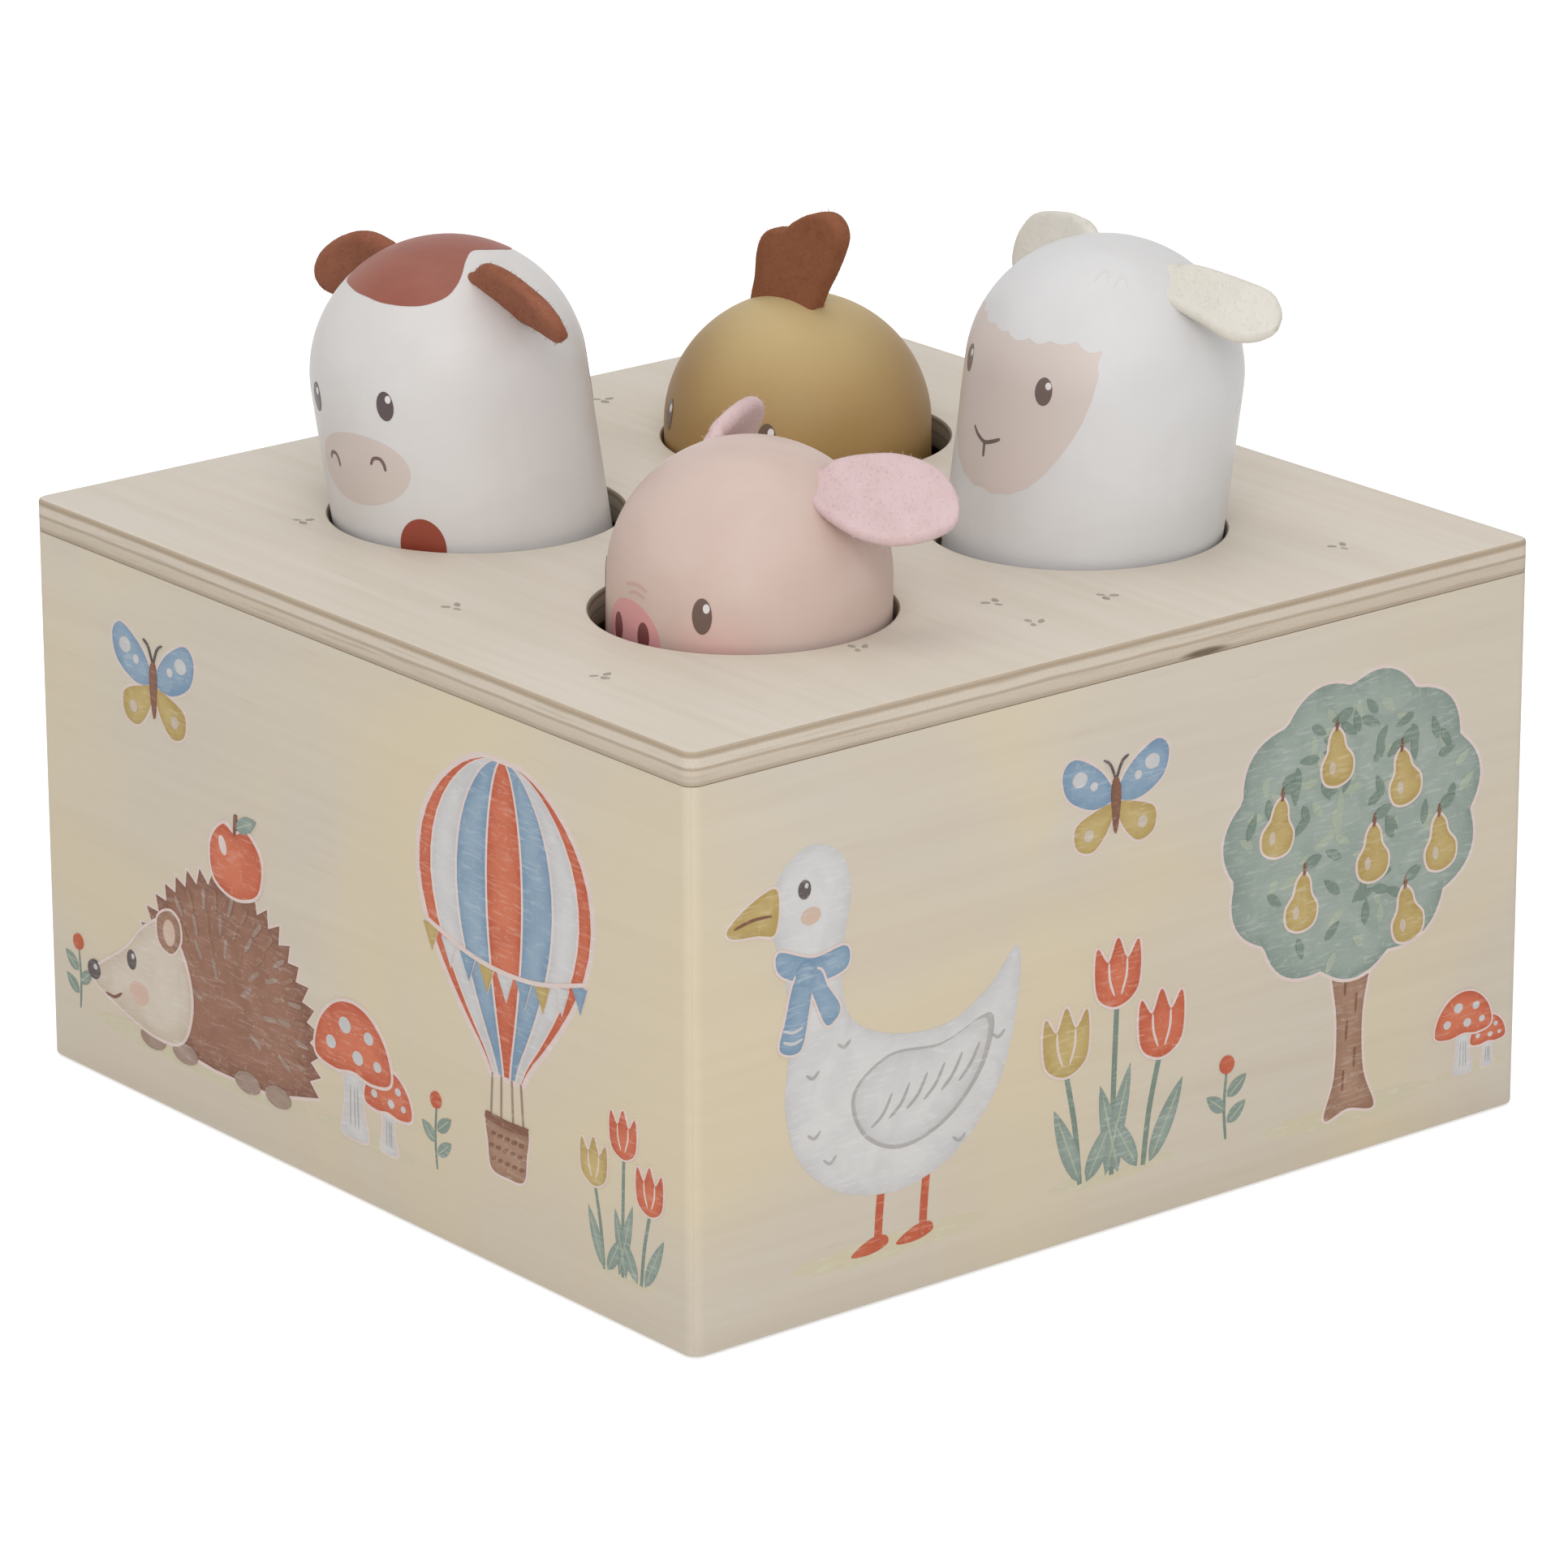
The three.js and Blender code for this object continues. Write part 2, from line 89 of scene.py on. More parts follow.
def paint_value(colour: Colour) -> tuple[float, float, float, float]:
    """Turns a colour on a screen, from 0 to 255, into the linear one with alpha that shaders take."""
    parts = [c / 255 for c in colour]
    return (*(c / 12.92 if c <= 0.04045 else ((c + 0.055) / 1.055) ** 2.4 for c in parts), 1.0)


def place_object(name: str, data: bpy.types.ID) -> Piece:
    """Puts an object with some data into the scene, at the origin."""
    bpy.context.scene.collection.objects.link(made := bpy.data.objects.new(name, data))
    return made


def plain_mesh(bench: Piece) -> Mesh:
    """The mesh that an object shows, with its modifiers and curves worked out."""
    graph = bpy.context.evaluated_depsgraph_get()
    return bpy.data.meshes.new_from_object(bench.evaluated_get(graph), depsgraph=graph)


# Node trees


class Nodes:
    """A node tree, with short calls for the nodes that shaders and builders share."""

    def __init__(self, tree: bpy.types.NodeTree) -> None:
        """Takes the tree that the calls add to."""
        self.tree = tree

    def add(self, kind: str, inputs: dict | None = None, **settings: object) -> bpy.types.Node:
        """Adds a node.

        Args:
            kind: Blender's name of the node type.
            inputs: values or sockets by input name or number.
            **settings: the node's own properties.

        Returns:
            The new node.
        """
        node = self.tree.nodes.new(kind)
        for key, value in settings.items():
            setattr(node, key, value)
        for key, value in (inputs or {}).items():
            if isinstance(value, Socket):
                self.link(value, node.inputs[key])
            else:
                node.inputs[key].default_value = value
        return node

    def link(self, made: Socket, wanted: Socket) -> None:
        """Links an output to an input."""
        self.tree.links.new(made, wanted)

    def math(self, operation: str, first: Socket | float, second: Socket | float = 0.0) -> Socket:
        """The result of a math node on two values."""
        return self.add("ShaderNodeMath", {0: first, 1: second}, operation=operation).outputs[0]

    def seen(self) -> Socket:
        """1 where the camera, a reflection or a refraction looks, else 0.

        Returns:
            The share.
        """
        path = self.add("ShaderNodeLightPath").outputs
        some = self.math("MAXIMUM", path["Is Camera Ray"], path["Is Glossy Ray"])
        return self.math("MAXIMUM", some, path["Is Transmission Ray"])


class Shader(Nodes):
    """A material's node tree, with short calls for the nodes that the finishes share."""

    def __init__(self, name: str, roughness: float, specular: float = 0.4) -> None:
        """Starts a material.

        Args:
            name: the material's name.
            roughness: how matt the surface is.
            specular: strength of its plain reflection.
        """
        self.material = bpy.data.materials.new(name)
        self.material.use_nodes = True
        super().__init__(self.material.node_tree)
        self.surface = self.tree.nodes["Principled BSDF"]
        self.surface.inputs["Roughness"].default_value = roughness
        self.surface.inputs["Specular IOR Level"].default_value = specular
        self.place = self.add("ShaderNodeTexCoord").outputs["Object"]

    def noise(
        self, scale: Sequence[float], detail: float = 3.0, distortion: float = 0.0,
        source: Socket | None = None, turn: Sequence[float] = (0, 0, 0),
    ) -> Socket:
        """A noise value from 0 to 1.

        Args:
            scale: cycles per metre along each axis.
            detail: how many finer layers it has.
            distortion: how much it is warped.
            source: coordinates other than the piece's own.
            turn: turns the coordinates first, in radians.

        Returns:
            The value.
        """
        inputs = {"Vector": source or self.place, "Scale": tuple(scale), "Rotation": turn}
        inputs = {"Vector": self.add("ShaderNodeMapping", inputs).outputs["Vector"], "Scale": 1.0}
        inputs |= {"Detail": detail, "Distortion": distortion}
        return self.add("ShaderNodeTexNoise", inputs).outputs["Fac"]

    def spread(self, value: Socket, low: float, high: float, share: float = 1.0) -> Socket:
        """Maps a value's range from low to high onto 0 to a share, clamped and eased."""
        inputs = {"Value": value, "From Min": low, "From Max": high, "To Max": share}
        return self.add("ShaderNodeMapRange", inputs, interpolation_type="SMOOTHSTEP").outputs["Result"]

    def mix(self, share: Socket | float, first: Socket | tuple, second: Socket | tuple) -> Socket:
        """Two colours mixed by a share; a colour is a socket, a linear one or one as on a screen.

        Args:
            share: of the second colour.
            first: shown at 0.
            second: shown at 1.

        Returns:
            The mixed colour.
        """
        inputs = {0: share}
        for slot, end in ((6, first), (7, second)):
            inputs[slot] = paint_value(end) if isinstance(end, tuple) and len(end) == 3 else end
        return self.add("ShaderNodeMix", inputs, data_type="RGBA").outputs[2]

    def ramp(self, value: Socket, stops: Sequence[tuple[float, Colour]]) -> Socket:
        """Colours along a value, from stops of place and colour.

        Args:
            value: from 0 to 1.
            stops: places and colours, in order.

        Returns:
            The colour.
        """
        node = self.add("ShaderNodeValToRGB", {"Fac": value})
        elements = node.color_ramp.elements
        while len(elements) < len(stops):
            elements.new(0.5)
        for element, (place, colour) in zip(elements, stops):
            element.position = place
            element.color = paint_value(colour)
        return node.outputs["Color"]

    def colour(self, socket: Socket) -> None:
        """Links the surface's colour."""
        self.link(socket, self.surface.inputs["Base Color"])

    def relief(self, height: Socket, depth: float, strength: float = 1.0) -> None:
        """Adds bump of a depth in millimetres to the surface's normal.

        Args:
            height: from 0 to 1.
            depth: of that range, in millimetres.
            strength: how much of it shows.
        """
        inputs = {"Height": height, "Distance": depth * MM, "Strength": strength}
        normal = self.surface.inputs["Normal"]
        if normal.links:
            inputs["Normal"] = normal.links[0].from_socket
        self.link(self.add("ShaderNodeBump", inputs).outputs["Normal"], normal)


class Builder(Nodes):
    """A Geometry Nodes tree with named sizes, which is run once and leaves a plain mesh."""

    def __init__(self, name: str, sizes: dict[str, object]) -> None:
        """Starts a tree.

        Args:
            name: the tree's name.
            sizes: its inputs by name, as a float, a whole number or a vector.
        """
        kinds = {int: "NodeSocketInt", float: "NodeSocketFloat", Vector: "NodeSocketVector"}
        super().__init__(bpy.data.node_groups.new(name, "GeometryNodeTree"))
        for way in ("INPUT", "OUTPUT"):
            self.tree.interface.new_socket("Geometry", in_out=way, socket_type="NodeSocketGeometry")
        self.sizes = {}
        for label, value in sizes.items():
            kind = kinds[type(value)]
            socket = self.tree.interface.new_socket(label, in_out="INPUT", socket_type=kind)
            self.sizes[socket.identifier] = value
        self.source = self.tree.nodes.new("NodeGroupInput").outputs
        self.result = self.tree.nodes.new("NodeGroupOutput")

    def vector(self, operation: str, first: Socket, second: Socket) -> Socket:
        """The result of a vector math node on two vectors."""
        return self.add("ShaderNodeVectorMath", {0: first, 1: second}, operation=operation).outputs[0]

    def times(self, vector: Socket, scale: Socket) -> Socket:
        """A vector times a number."""
        return self.add("ShaderNodeVectorMath", {0: vector, "Scale": scale}, operation="SCALE").outputs[0]

    def tube(self, line: Socket, sides: int, radius: str) -> Socket:
        """A closed tube along a curve.

        Args:
            line: the curve.
            sides: of its section.
            radius: the name of the input with its radius.

        Returns:
            The tube's geometry.
        """
        section = {"Resolution": sides, "Radius": self.source[radius]}
        ring = self.add("GeometryNodeCurvePrimitiveCircle", section).outputs[0]
        inputs = {"Curve": line, "Profile Curve": ring, "Fill Caps": True}
        return self.add("GeometryNodeCurveToMesh", inputs).outputs[0]

    def spin(self, low: Sequence[float], high: Sequence[float], seed: Socket | int) -> Socket:
        """A random turn for each point.

        Args:
            low: its least angles about X, Y and Z.
            high: its greatest angles.
            seed: of the draw.

        Returns:
            The angles.
        """
        drawn = self.add("FunctionNodeRandomValue", {"Seed": seed}, data_type="FLOAT_VECTOR")
        drawn.inputs["Min"].default_value, drawn.inputs["Max"].default_value = low, high
        return drawn.outputs["Value"]

    def run(self, carrier: Mesh, made: Socket, material: Material) -> Mesh:
        """Ends the tree in Realize Instances and Set Material, and runs it on a carrier mesh.

        Args:
            carrier: the mesh that the tree gets.
            made: the socket with the tree's geometry.
            material: what the result is made of.

        Returns:
            The result as a plain mesh.
        """
        real = self.add("GeometryNodeRealizeInstances", {"Geometry": made}).outputs[0]
        dressed = self.add("GeometryNodeSetMaterial", {"Geometry": real, "Material": material})
        self.link(dressed.outputs[0], self.result.inputs[0])
        bench = place_object("bench", carrier)
        modifier = bench.modifiers.new("builder", "NODES")
        modifier.node_group = self.tree
        for identifier, value in self.sizes.items():
            modifier[identifier] = tuple(value) if isinstance(value, Vector) else value
        mesh = plain_mesh(bench)
        bench.modifiers.remove(modifier)
        bpy.data.objects.remove(bench)
        return mesh


# Finishes


@dataclass(frozen=True)
class BoardFace:
    """A sanded plywood face with fine grain and, where printed, a soft yellow wash.

    The grain is in cycles per metre along X, Y and Z.
    """

    name: str
    grain: tuple[float, float, float]
    light: Colour = (217, 208, 195)
    dark: Colour = (210, 200, 185)
    wash: Colour = (219, 202, 157)
    wash_share: float = 0.0

    def material(self) -> Material:
        """Makes the material.

        Returns:
            The material.
        """
        s = Shader(self.name, 0.55, 0.3)
        fine = s.noise(self.grain, 5.0, 0.3)
        broad = s.noise([g / 6 for g in self.grain], 2.0, 1.2)
        pores = s.noise([g * 2.6 for g in self.grain], 2.0)
        share = s.math("ADD", s.math("MULTIPLY", fine, 0.45), s.math("MULTIPLY", broad, 0.55))
        wood = s.mix(s.spread(share, 0.3, 0.74), self.light, self.dark)
        pore_share = s.spread(pores, 0.62, 0.8, 0.14)
        wood = s.mix(pore_share, wood, (172, 154, 128))
        cloud = s.noise((11, 11, 11), 2.0, 0.5)
        wood = s.mix(s.spread(cloud, 0.35, 0.7, 0.35), wood, (204, 192, 174))
        if self.wash_share:
            patch = s.spread(s.noise((16, 16, 16), 2.0, 0.8), 0.36, 0.7)
            wood = s.mix(s.math("MULTIPLY", patch, self.wash_share), wood, self.wash)
        s.colour(wood)
        s.relief(fine, 0.02, 0.4)
        s.relief(pores, 0.015, 0.4)
        return s.material


@dataclass(frozen=True)
class BoardEdge:
    """The cut edge of plywood: its plies across one axis, with glue lines and end grain.

    The stops are places across the board, from 0 to 1, and the colours of the plies there.
    """

    name: str
    axis: int
    start: float
    thickness: float
    stops: tuple[tuple[float, Colour], ...] = (
        (0.0, (176, 160, 140)), (0.1, (184, 169, 149)), (0.17, (201, 187, 169)), (0.42, (204, 191, 173)),
        (0.46, (183, 167, 147)), (0.51, (183, 167, 147)), (0.56, (211, 199, 183)), (0.78, (211, 199, 183)),
        (0.83, (184, 168, 148)), (0.9, (170, 153, 131)), (1.0, (188, 172, 152)),
    )
    knot: tuple[float, float, float] | None = None
    knot_size: tuple[float, float, float] = (3.0, 5.5, 0.75)

    def material(self) -> Material:
        """Makes the material.

        Returns:
            The material.
        """
        s = Shader(self.name, 0.7, 0.25)
        split = s.add("ShaderNodeSeparateXYZ", {0: s.place})
        waver = s.noise((90, 90, 90), 2.0)
        place = s.math(
            "DIVIDE", s.math("SUBTRACT", split.outputs[self.axis], self.start * MM), self.thickness * MM,
        )
        place = s.math("ADD", place, s.math("MULTIPLY", s.math("SUBTRACT", waver, 0.5), 0.07))
        plies = s.ramp(place, self.stops)
        scale = [70.0, 70.0, 70.0]
        scale[self.axis] = 1900.0
        streaks = s.noise(scale, 4.0, 0.3)
        wood = s.mix(s.spread(streaks, 0.5, 0.78, 0.4), plies, (158, 142, 119))
        ends = s.noise((2600, 2600, 2600), 2.0)
        wood = s.mix(s.spread(ends, 0.56, 0.75, 0.22), wood, (150, 134, 110))
        if self.knot:
            inputs = {"Vector": s.place, "Scale": tuple(1 / (k * MM) for k in self.knot_size)}
            inputs["Location"] = tuple(-p / k for p, k in zip(self.knot, self.knot_size))
            near = s.add("ShaderNodeMapping", inputs).outputs["Vector"]
            away = s.add("ShaderNodeVectorMath", {0: near}, operation="LENGTH").outputs["Value"]
            wood = s.mix(s.spread(away, 1.0, 0.35, 0.85), wood, (96, 76, 58))
        s.colour(wood)
        s.relief(streaks, 0.05, 0.6)
        s.relief(ends, 0.03, 0.5)
        return s.material


@dataclass(frozen=True)
class Tint:
    """A soft round tint in a coat of paint, which fades out at its radius; it paints cheeks, and a painted
    highlight and painted shade.
    """

    azimuth: float
    height: float
    radius: float
    colour: Colour
    share: float


@dataclass(frozen=True)
class Paint:
    """Matt water-based paint on turned wood, with faint turning lines and brush strokes.

    The shade is what the colour drifts to where the coat is thin. Each tint comes with its centre
    in the animal's own metres; a tint paints a cheek, and on the chicken a painted highlight and painted
    shade.
    """

    name: str
    colour: Colour
    shade: Colour
    roughness: float = 0.42
    gloss: float = 0.35
    tints: tuple[tuple[Vector, Tint], ...] = ()

    def material(self) -> Material:
        """Makes the material.

        Returns:
            The material.
        """
        s = Shader(self.name, self.roughness, self.gloss)
        own = s.add("ShaderNodeAttribute", attribute_name="own_place").outputs["Vector"]
        drift = s.noise((70, 70, 70), 3.0, 0.6, own)
        rings = s.noise((30, 30, 1700), source=own)
        grain = s.noise((620, 620, 22), 4.0, 0.2, own)
        specks = s.noise((1500, 1500, 1500), 2.0, source=own)
        share = s.math("ADD", s.spread(drift, 0.35, 0.7, 0.55), s.math("MULTIPLY", rings, 0.2))
        coat = s.mix(share, self.colour, self.shade)
        coat = s.mix(s.spread(grain, 0.5, 0.75, 0.18), coat, self.shade)
        # Tints paint cheeks, and on the chicken a painted highlight and painted shade.
        for centre, tint in self.tints:
            away = s.add("ShaderNodeVectorMath", {0: own, 1: tuple(centre)}, operation="DISTANCE")
            near = s.spread(away.outputs["Value"], tint.radius * MM, 0.0)
            coat = s.mix(s.math("MULTIPLY", near, tint.share), coat, tint.colour)
        s.colour(coat)
        s.relief(rings, 0.02, 0.5)
        s.relief(grain, 0.03, 0.35)
        s.relief(specks, 0.012, 0.5)
        return s.material


@dataclass(frozen=True)
class Felt:
    """Pressed wool felt with matted fibres, painted shade in the hollows between them, and light loose ones.
    """

    name: str
    colour: Colour
    dark: Colour
    light: Colour

    def material(self) -> Material:
        """Makes the material.

        Returns:
            The material.
        """
        s = Shader(self.name, 0.95, 0.15)
        s.surface.inputs["Sheen Weight"].default_value = 0.25
        s.surface.inputs["Sheen Roughness"].default_value = 0.6
        s.surface.inputs["Sheen Tint"].default_value = paint_value(self.light)
        mat = s.noise((420, 420, 420), 4.0, 1.4)
        hair = s.noise((1500, 1500, 1500), 4.0, 3.5)
        clumps = s.noise((130, 130, 130), 3.0, 0.8)
        cloud = s.spread(clumps, 0.32, 0.7, 0.5)
        body = s.mix(cloud, self.colour, self.dark)
        body = s.mix(s.spread(hair, 0.55, 0.72, 0.45), body, self.light)
        # Painted shade: darker where the matted relief is low, in its hollows.
        body = s.mix(s.spread(mat, 0.5, 0.3, 0.3), body, self.dark)
        s.colour(body)
        s.relief(mat, 0.09, 0.6)
        s.relief(hair, 0.06, 0.7)
        return s.material


@dataclass(frozen=True)
class TurnedWood:
    """Bare turned wood with light and dark grain along its axis."""

    name: str
    light: Colour = (214, 190, 152)
    dark: Colour = (184, 154, 112)

    def material(self) -> Material:
        """Makes the material.

        Returns:
            The material.
        """
        s = Shader(self.name, 0.6, 0.3)
        grain = s.noise((520, 520, 24), 5.0, 0.5)
        rings = s.noise((20, 20, 1500), 2.0)
        s.colour(s.mix(s.spread(grain, 0.35, 0.68), self.light, self.dark))
        s.relief(rings, 0.04, 0.5)
        s.relief(grain, 0.04, 0.4)
        return s.material


@dataclass(frozen=True)
class Steel:
    """Drawn or zinc-plated steel with dull spots and fine scratches."""

    name: str
    colour: Colour = (196, 198, 200)
    dull: Colour = (140, 142, 146)

    def material(self) -> Material:
        """Makes the material.

        Returns:
            The material.
        """
        s = Shader(self.name, 0.32)
        s.surface.inputs["Metallic"].default_value = 1.0
        spots = s.noise((600, 600, 600), 4.0, 0.6)
        scratches = s.noise((300, 300, 5200), 3.0)
        s.colour(s.mix(s.spread(spots, 0.45, 0.75), self.colour, self.dull))
        rough = s.add("ShaderNodeMapRange", {"Value": spots, "To Min": 0.24, "To Max": 0.48})
        s.link(rough.outputs["Result"], s.surface.inputs["Roughness"])
        s.relief(scratches, 0.01, 0.5)
        return s.material


class Ink(Enum):
    """The print's colours: what is seen in a shape's middle and at its rim."""

    PALE = ((224, 208, 202), (216, 198, 191))
    RED = ((208, 118, 86), (184, 88, 60))
    BLUE = ((150, 171, 188), (118, 144, 168))
    WHITE = ((213, 211, 209), (194, 192, 192))
    GREY = ((184, 181, 178), (168, 165, 162))
    BROWN = ((150, 108, 88), (122, 82, 64))
    BARK = ((168, 134, 112), (142, 106, 84))
    SAGE = ((156, 167, 158), (128, 143, 134))
    LEAF = ((134, 148, 136), (116, 132, 120))
    LIGHT_LEAF = ((176, 184, 168), (160, 170, 152))
    MUSTARD = ((196, 174, 118), (172, 146, 86))
    CREAM = ((210, 199, 184), (194, 178, 160))
    TAUPE = ((172, 150, 137), (150, 126, 113))
    BLUSH = ((208, 172, 156), (204, 180, 162))
    DARK = ((104, 93, 92), (88, 78, 78))
    GROUND = ((200, 192, 162), (204, 194, 170))
    SEED = ((166, 159, 150), (160, 152, 141))


@dataclass(frozen=True)
class PrintInk:
    """A thin printed colour with chalky strokes, which deepens towards the rim of its shape."""

    ink: Ink

    def material(self) -> Material:
        """Makes the material.

        Returns:
            The material.
        """
        middle, rim = self.ink.value
        s = Shader(f"print_{self.ink.name.lower()}", 0.6, 0.3)
        shade = s.add("ShaderNodeAttribute", attribute_name="rim_share").outputs["Fac"]
        pale = tuple(int(c + (236 - c) * 0.35) for c in middle)
        wash = s.noise((150, 150, 150), 3.0, 1.0)
        chalk = s.noise((320, 320, 2100), 3.0, 0.6, turn=(0.6, 0.6, 0.5))
        tooth = s.noise((1300, 1300, 1300), 2.0)
        depth = s.math("ADD", s.math("MULTIPLY", shade, 0.75), s.spread(wash, 0.35, 0.7, 0.4))
        colour = s.mix(depth, middle, rim)
        colour = s.mix(s.spread(chalk, 0.5, 0.74, 0.5), colour, pale)
        s.colour(s.mix(s.spread(tooth, 0.6, 0.78, 0.25), colour, (214, 204, 184)))
        s.relief(chalk, 0.01, 0.4)
        return s.material


@cache
def print_material(ink: Ink) -> Material:
    """The one material of an ink."""
    return PrintInk(ink).material()


# Meshes


def smooth_line(points: Outline, steps: int, closed: bool = True) -> list[Point]:
    """A smooth curve through points.

    Args:
        points: what the curve passes through.
        steps: pieces between two of them.
        closed: whether it runs back to the first.

    Returns:
        Points on the curve.
    """
    count = len(points)
    spans = count if closed else count - 1
    line = []
    for span in range(spans):
        picks = [span - 1, span, span + 1, span + 2]
        if closed:
            picks = [index % count for index in picks]
        else:
            picks = [min(max(index, 0), count - 1) for index in picks]
        a, b, c, d = (np.array(points[index], float) for index in picks)
        for step in range(steps):
            t = step / steps
            v0, v1 = (c - a) / 2, (d - b) / 2
            place = (2 * b - 2 * c + v0 + v1) * t**3 + (3 * c - 3 * b - 2 * v0 - v1) * t**2 + v0 * t + b
            line.append(tuple(place))
    if not closed:
        line.append(tuple(points[-1]))
    return line


def moved(points: Outline, x: float, y: float, turn: float) -> list[Point]:
    """Points turned about the origin by an angle, then moved by x and y."""
    c, s = math.cos(math.radians(turn)), math.sin(math.radians(turn))
    return [(x + px * c - py * s, y + px * s + py * c) for px, py in points]


def ellipse(x: float, y: float, rx: float, ry: float, steps: int = 28, turn: float = 0.0) -> list[Point]:
    """Points of an ellipse about x, y, anticlockwise, with its reach rx, ry turned by an angle."""
    angles = [2 * math.pi * step / steps for step in range(steps)]
    return moved([(rx * math.cos(a), ry * math.sin(a)) for a in angles], x, y, turn)


def ribbon(line: np.ndarray, half: np.ndarray) -> list[Point]:
    """The outline of a line that is drawn with a brush.

    Args:
        line: its points.
        half: half its width at each point.

    Returns:
        The closed outline.
    """
    way = np.gradient(line, axis=0)
    way /= np.maximum(np.linalg.norm(way, axis=1, keepdims=True), 1e-9)
    side = np.stack([-way[:, 1], way[:, 0]], 1) * half[:, None]
    return [tuple(p) for p in np.concatenate([line + side, (line - side)[::-1]])]


def make_piece(
    name: str, verts: Sequence[Sequence[float]], faces: Sequence[Sequence[int]],
    materials: Sequence[Material], face_materials: Sequence[int] | None = None, sharp: float = 35.0,
) -> Piece:
    """Makes an object at the origin from points in millimetres.

    Args:
        name: the piece's name.
        verts: its points.
        faces: its faces, which point outwards.
        materials: its finishes.
        face_materials: which finish each face has.
        sharp: edges with a larger angle stay sharp.

    Returns:
        The object, linked to the scene.
    """
    mesh = bpy.data.meshes.new(name)
    mesh.from_pydata([Vector(v) * MM for v in verts], [], faces)
    for material in materials:
        mesh.materials.append(material)
    if face_materials:
        mesh.polygons.foreach_set("material_index", list(face_materials))
    return link_piece(name, mesh, sharp)


def link_piece(name: str, mesh: Mesh, sharp: float = 35.0) -> Piece:
    """Puts a finished mesh into the scene as a smooth-shaded piece.

    Args:
        name: the piece's name.
        mesh: in metres.
        sharp: edges with a larger angle stay sharp.

    Returns:
        The object.
    """
    mesh.validate()
    mesh.polygons.foreach_set("use_smooth", [True] * len(mesh.polygons))
    mesh.set_sharp_from_angle(angle=math.radians(sharp))
    return place_object(name, mesh)


def dress(piece: Piece, body: str, slot: str, nodes: Sequence[str] = ()) -> None:
    """Rides a piece on a body, hides the nodes that it stands for, and reports it.

    Args:
        piece: what is dressed.
        body: that it rides on.
        slot: its material slot; not used.
        nodes: CAD nodes that it stands for.
    """
    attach(piece, body)
    if nodes:
        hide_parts(*nodes)
    log.info("%s: %d faces on %s", piece.name, len(piece.data.polygons), body)


def loft(rings: Sequence[Sequence[Sequence[float]]], close: bool = True) -> tuple[list, list]:
    """Joins rings of equal length into a surface.

    Args:
        rings: closed loops of points, anticlockwise from the end where they finish.
        close: whether the first and last are filled.

    Returns:
        Vertices and faces.
    """
    count = len(rings[0])
    verts = [tuple(p) for ring in rings for p in ring]
    faces = []
    for row in range(len(rings) - 1):
        for k in range(count):
            a, b = row * count + k, row * count + (k + 1) % count
            faces.append((a, b, b + count, a + count))
    if close:
        faces.append(tuple(reversed(range(count))))
        faces.append(tuple((len(rings) - 1) * count + k for k in range(count)))
    return verts, faces


def lathe(profile: Outline, segments: int) -> tuple[list, list]:
    """Turns a profile about Z.

    Args:
        profile: radius and height from the foot's middle, out, up and back to the middle.
        segments: round the axis.

    Returns:
        Vertices and faces, closed where the profile meets the axis.
    """
    verts, rings, faces = [], [], []
    for radius, height in profile:
        if radius < 1e-6:
            rings.append([len(verts)] * segments)
            verts.append((0.0, 0.0, height))
            continue
        rings.append(list(range(len(verts), len(verts) + segments)))
        for k in range(segments):
            angle = 2 * math.pi * k / segments
            verts.append((radius * math.cos(angle), radius * math.sin(angle), height))
    for low, high in zip(rings, rings[1:]):
        for k in range(segments):
            j = (k + 1) % segments
            corners = [low[k], low[j], high[j], high[k]]
            corners = [c for i, c in enumerate(corners) if c not in corners[:i]]
            if len(corners) > 2:
                faces.append(tuple(corners))
    return verts, faces


def eased(profile: Outline, radius: float, steps: int = 3) -> list[Point]:
    """Rounds the inner corners of an open profile.

    Args:
        profile: radii and heights.
        radius: how far from a corner its rounding starts.
        steps: pieces of each rounding.

    Returns:
        The rounded profile.
    """
    line = [Vector(p) for p in profile]
    result = [tuple(line[0])]
    for before, corner, after in zip(line, line[1:], line[2:]):
        reach = min(radius, (before - corner).length / 2.2, (after - corner).length / 2.2)
        start = corner + (before - corner).normalized() * reach
        end = corner + (after - corner).normalized() * reach
        for step in range(steps + 1):
            t = step / steps
            result.append(tuple(start * (1 - t) ** 2 + corner * 2 * t * (1 - t) + end * t**2))
    result.append(tuple(line[-1]))
    return result


def shell(
    flat: Outline, triangles: Sequence[Sequence[int]], place: Callable, low: float, high: float,
) -> tuple[list, list]:
    """A thin closed layer over a triangulated patch.

    Args:
        flat: the patch's points in its own plane.
        triangles: over those points, anticlockwise.
        place: gives a point's position for its plane coordinates and a lift.
        low: lift of the underside.
        high: lift of the top.

    Returns:
        Vertices and faces.
    """
    count = len(flat)
    verts = [place(x, y, high) for x, y in flat] + [place(x, y, low) for x, y in flat]
    edges = {(t[k], t[(k + 1) % 3]) for t in triangles for k in range(3)}
    faces = [tuple(t) for t in triangles] + [tuple(count + i for i in reversed(t)) for t in triangles]
    faces += [(a, a + count, b + count, b) for a, b in edges if (b, a) not in edges]
    return verts, faces


def area(points: Outline) -> float:
    """Signed area of a closed outline."""
    return sum(a[0] * b[1] - b[0] * a[1] for a, b in zip(points, [*points[1:], points[0]])) / 2


def rim_gap(point: Point, ring: np.ndarray, spans: np.ndarray) -> float:
    """Distance from a point to a closed outline, from its corners and the spans between them."""
    along = np.clip(((point - ring) * spans).sum(1) / np.maximum((spans**2).sum(1), 1e-12), 0, 1)
    return np.linalg.norm(ring + along[:, None] * spans - point, axis=1).min()


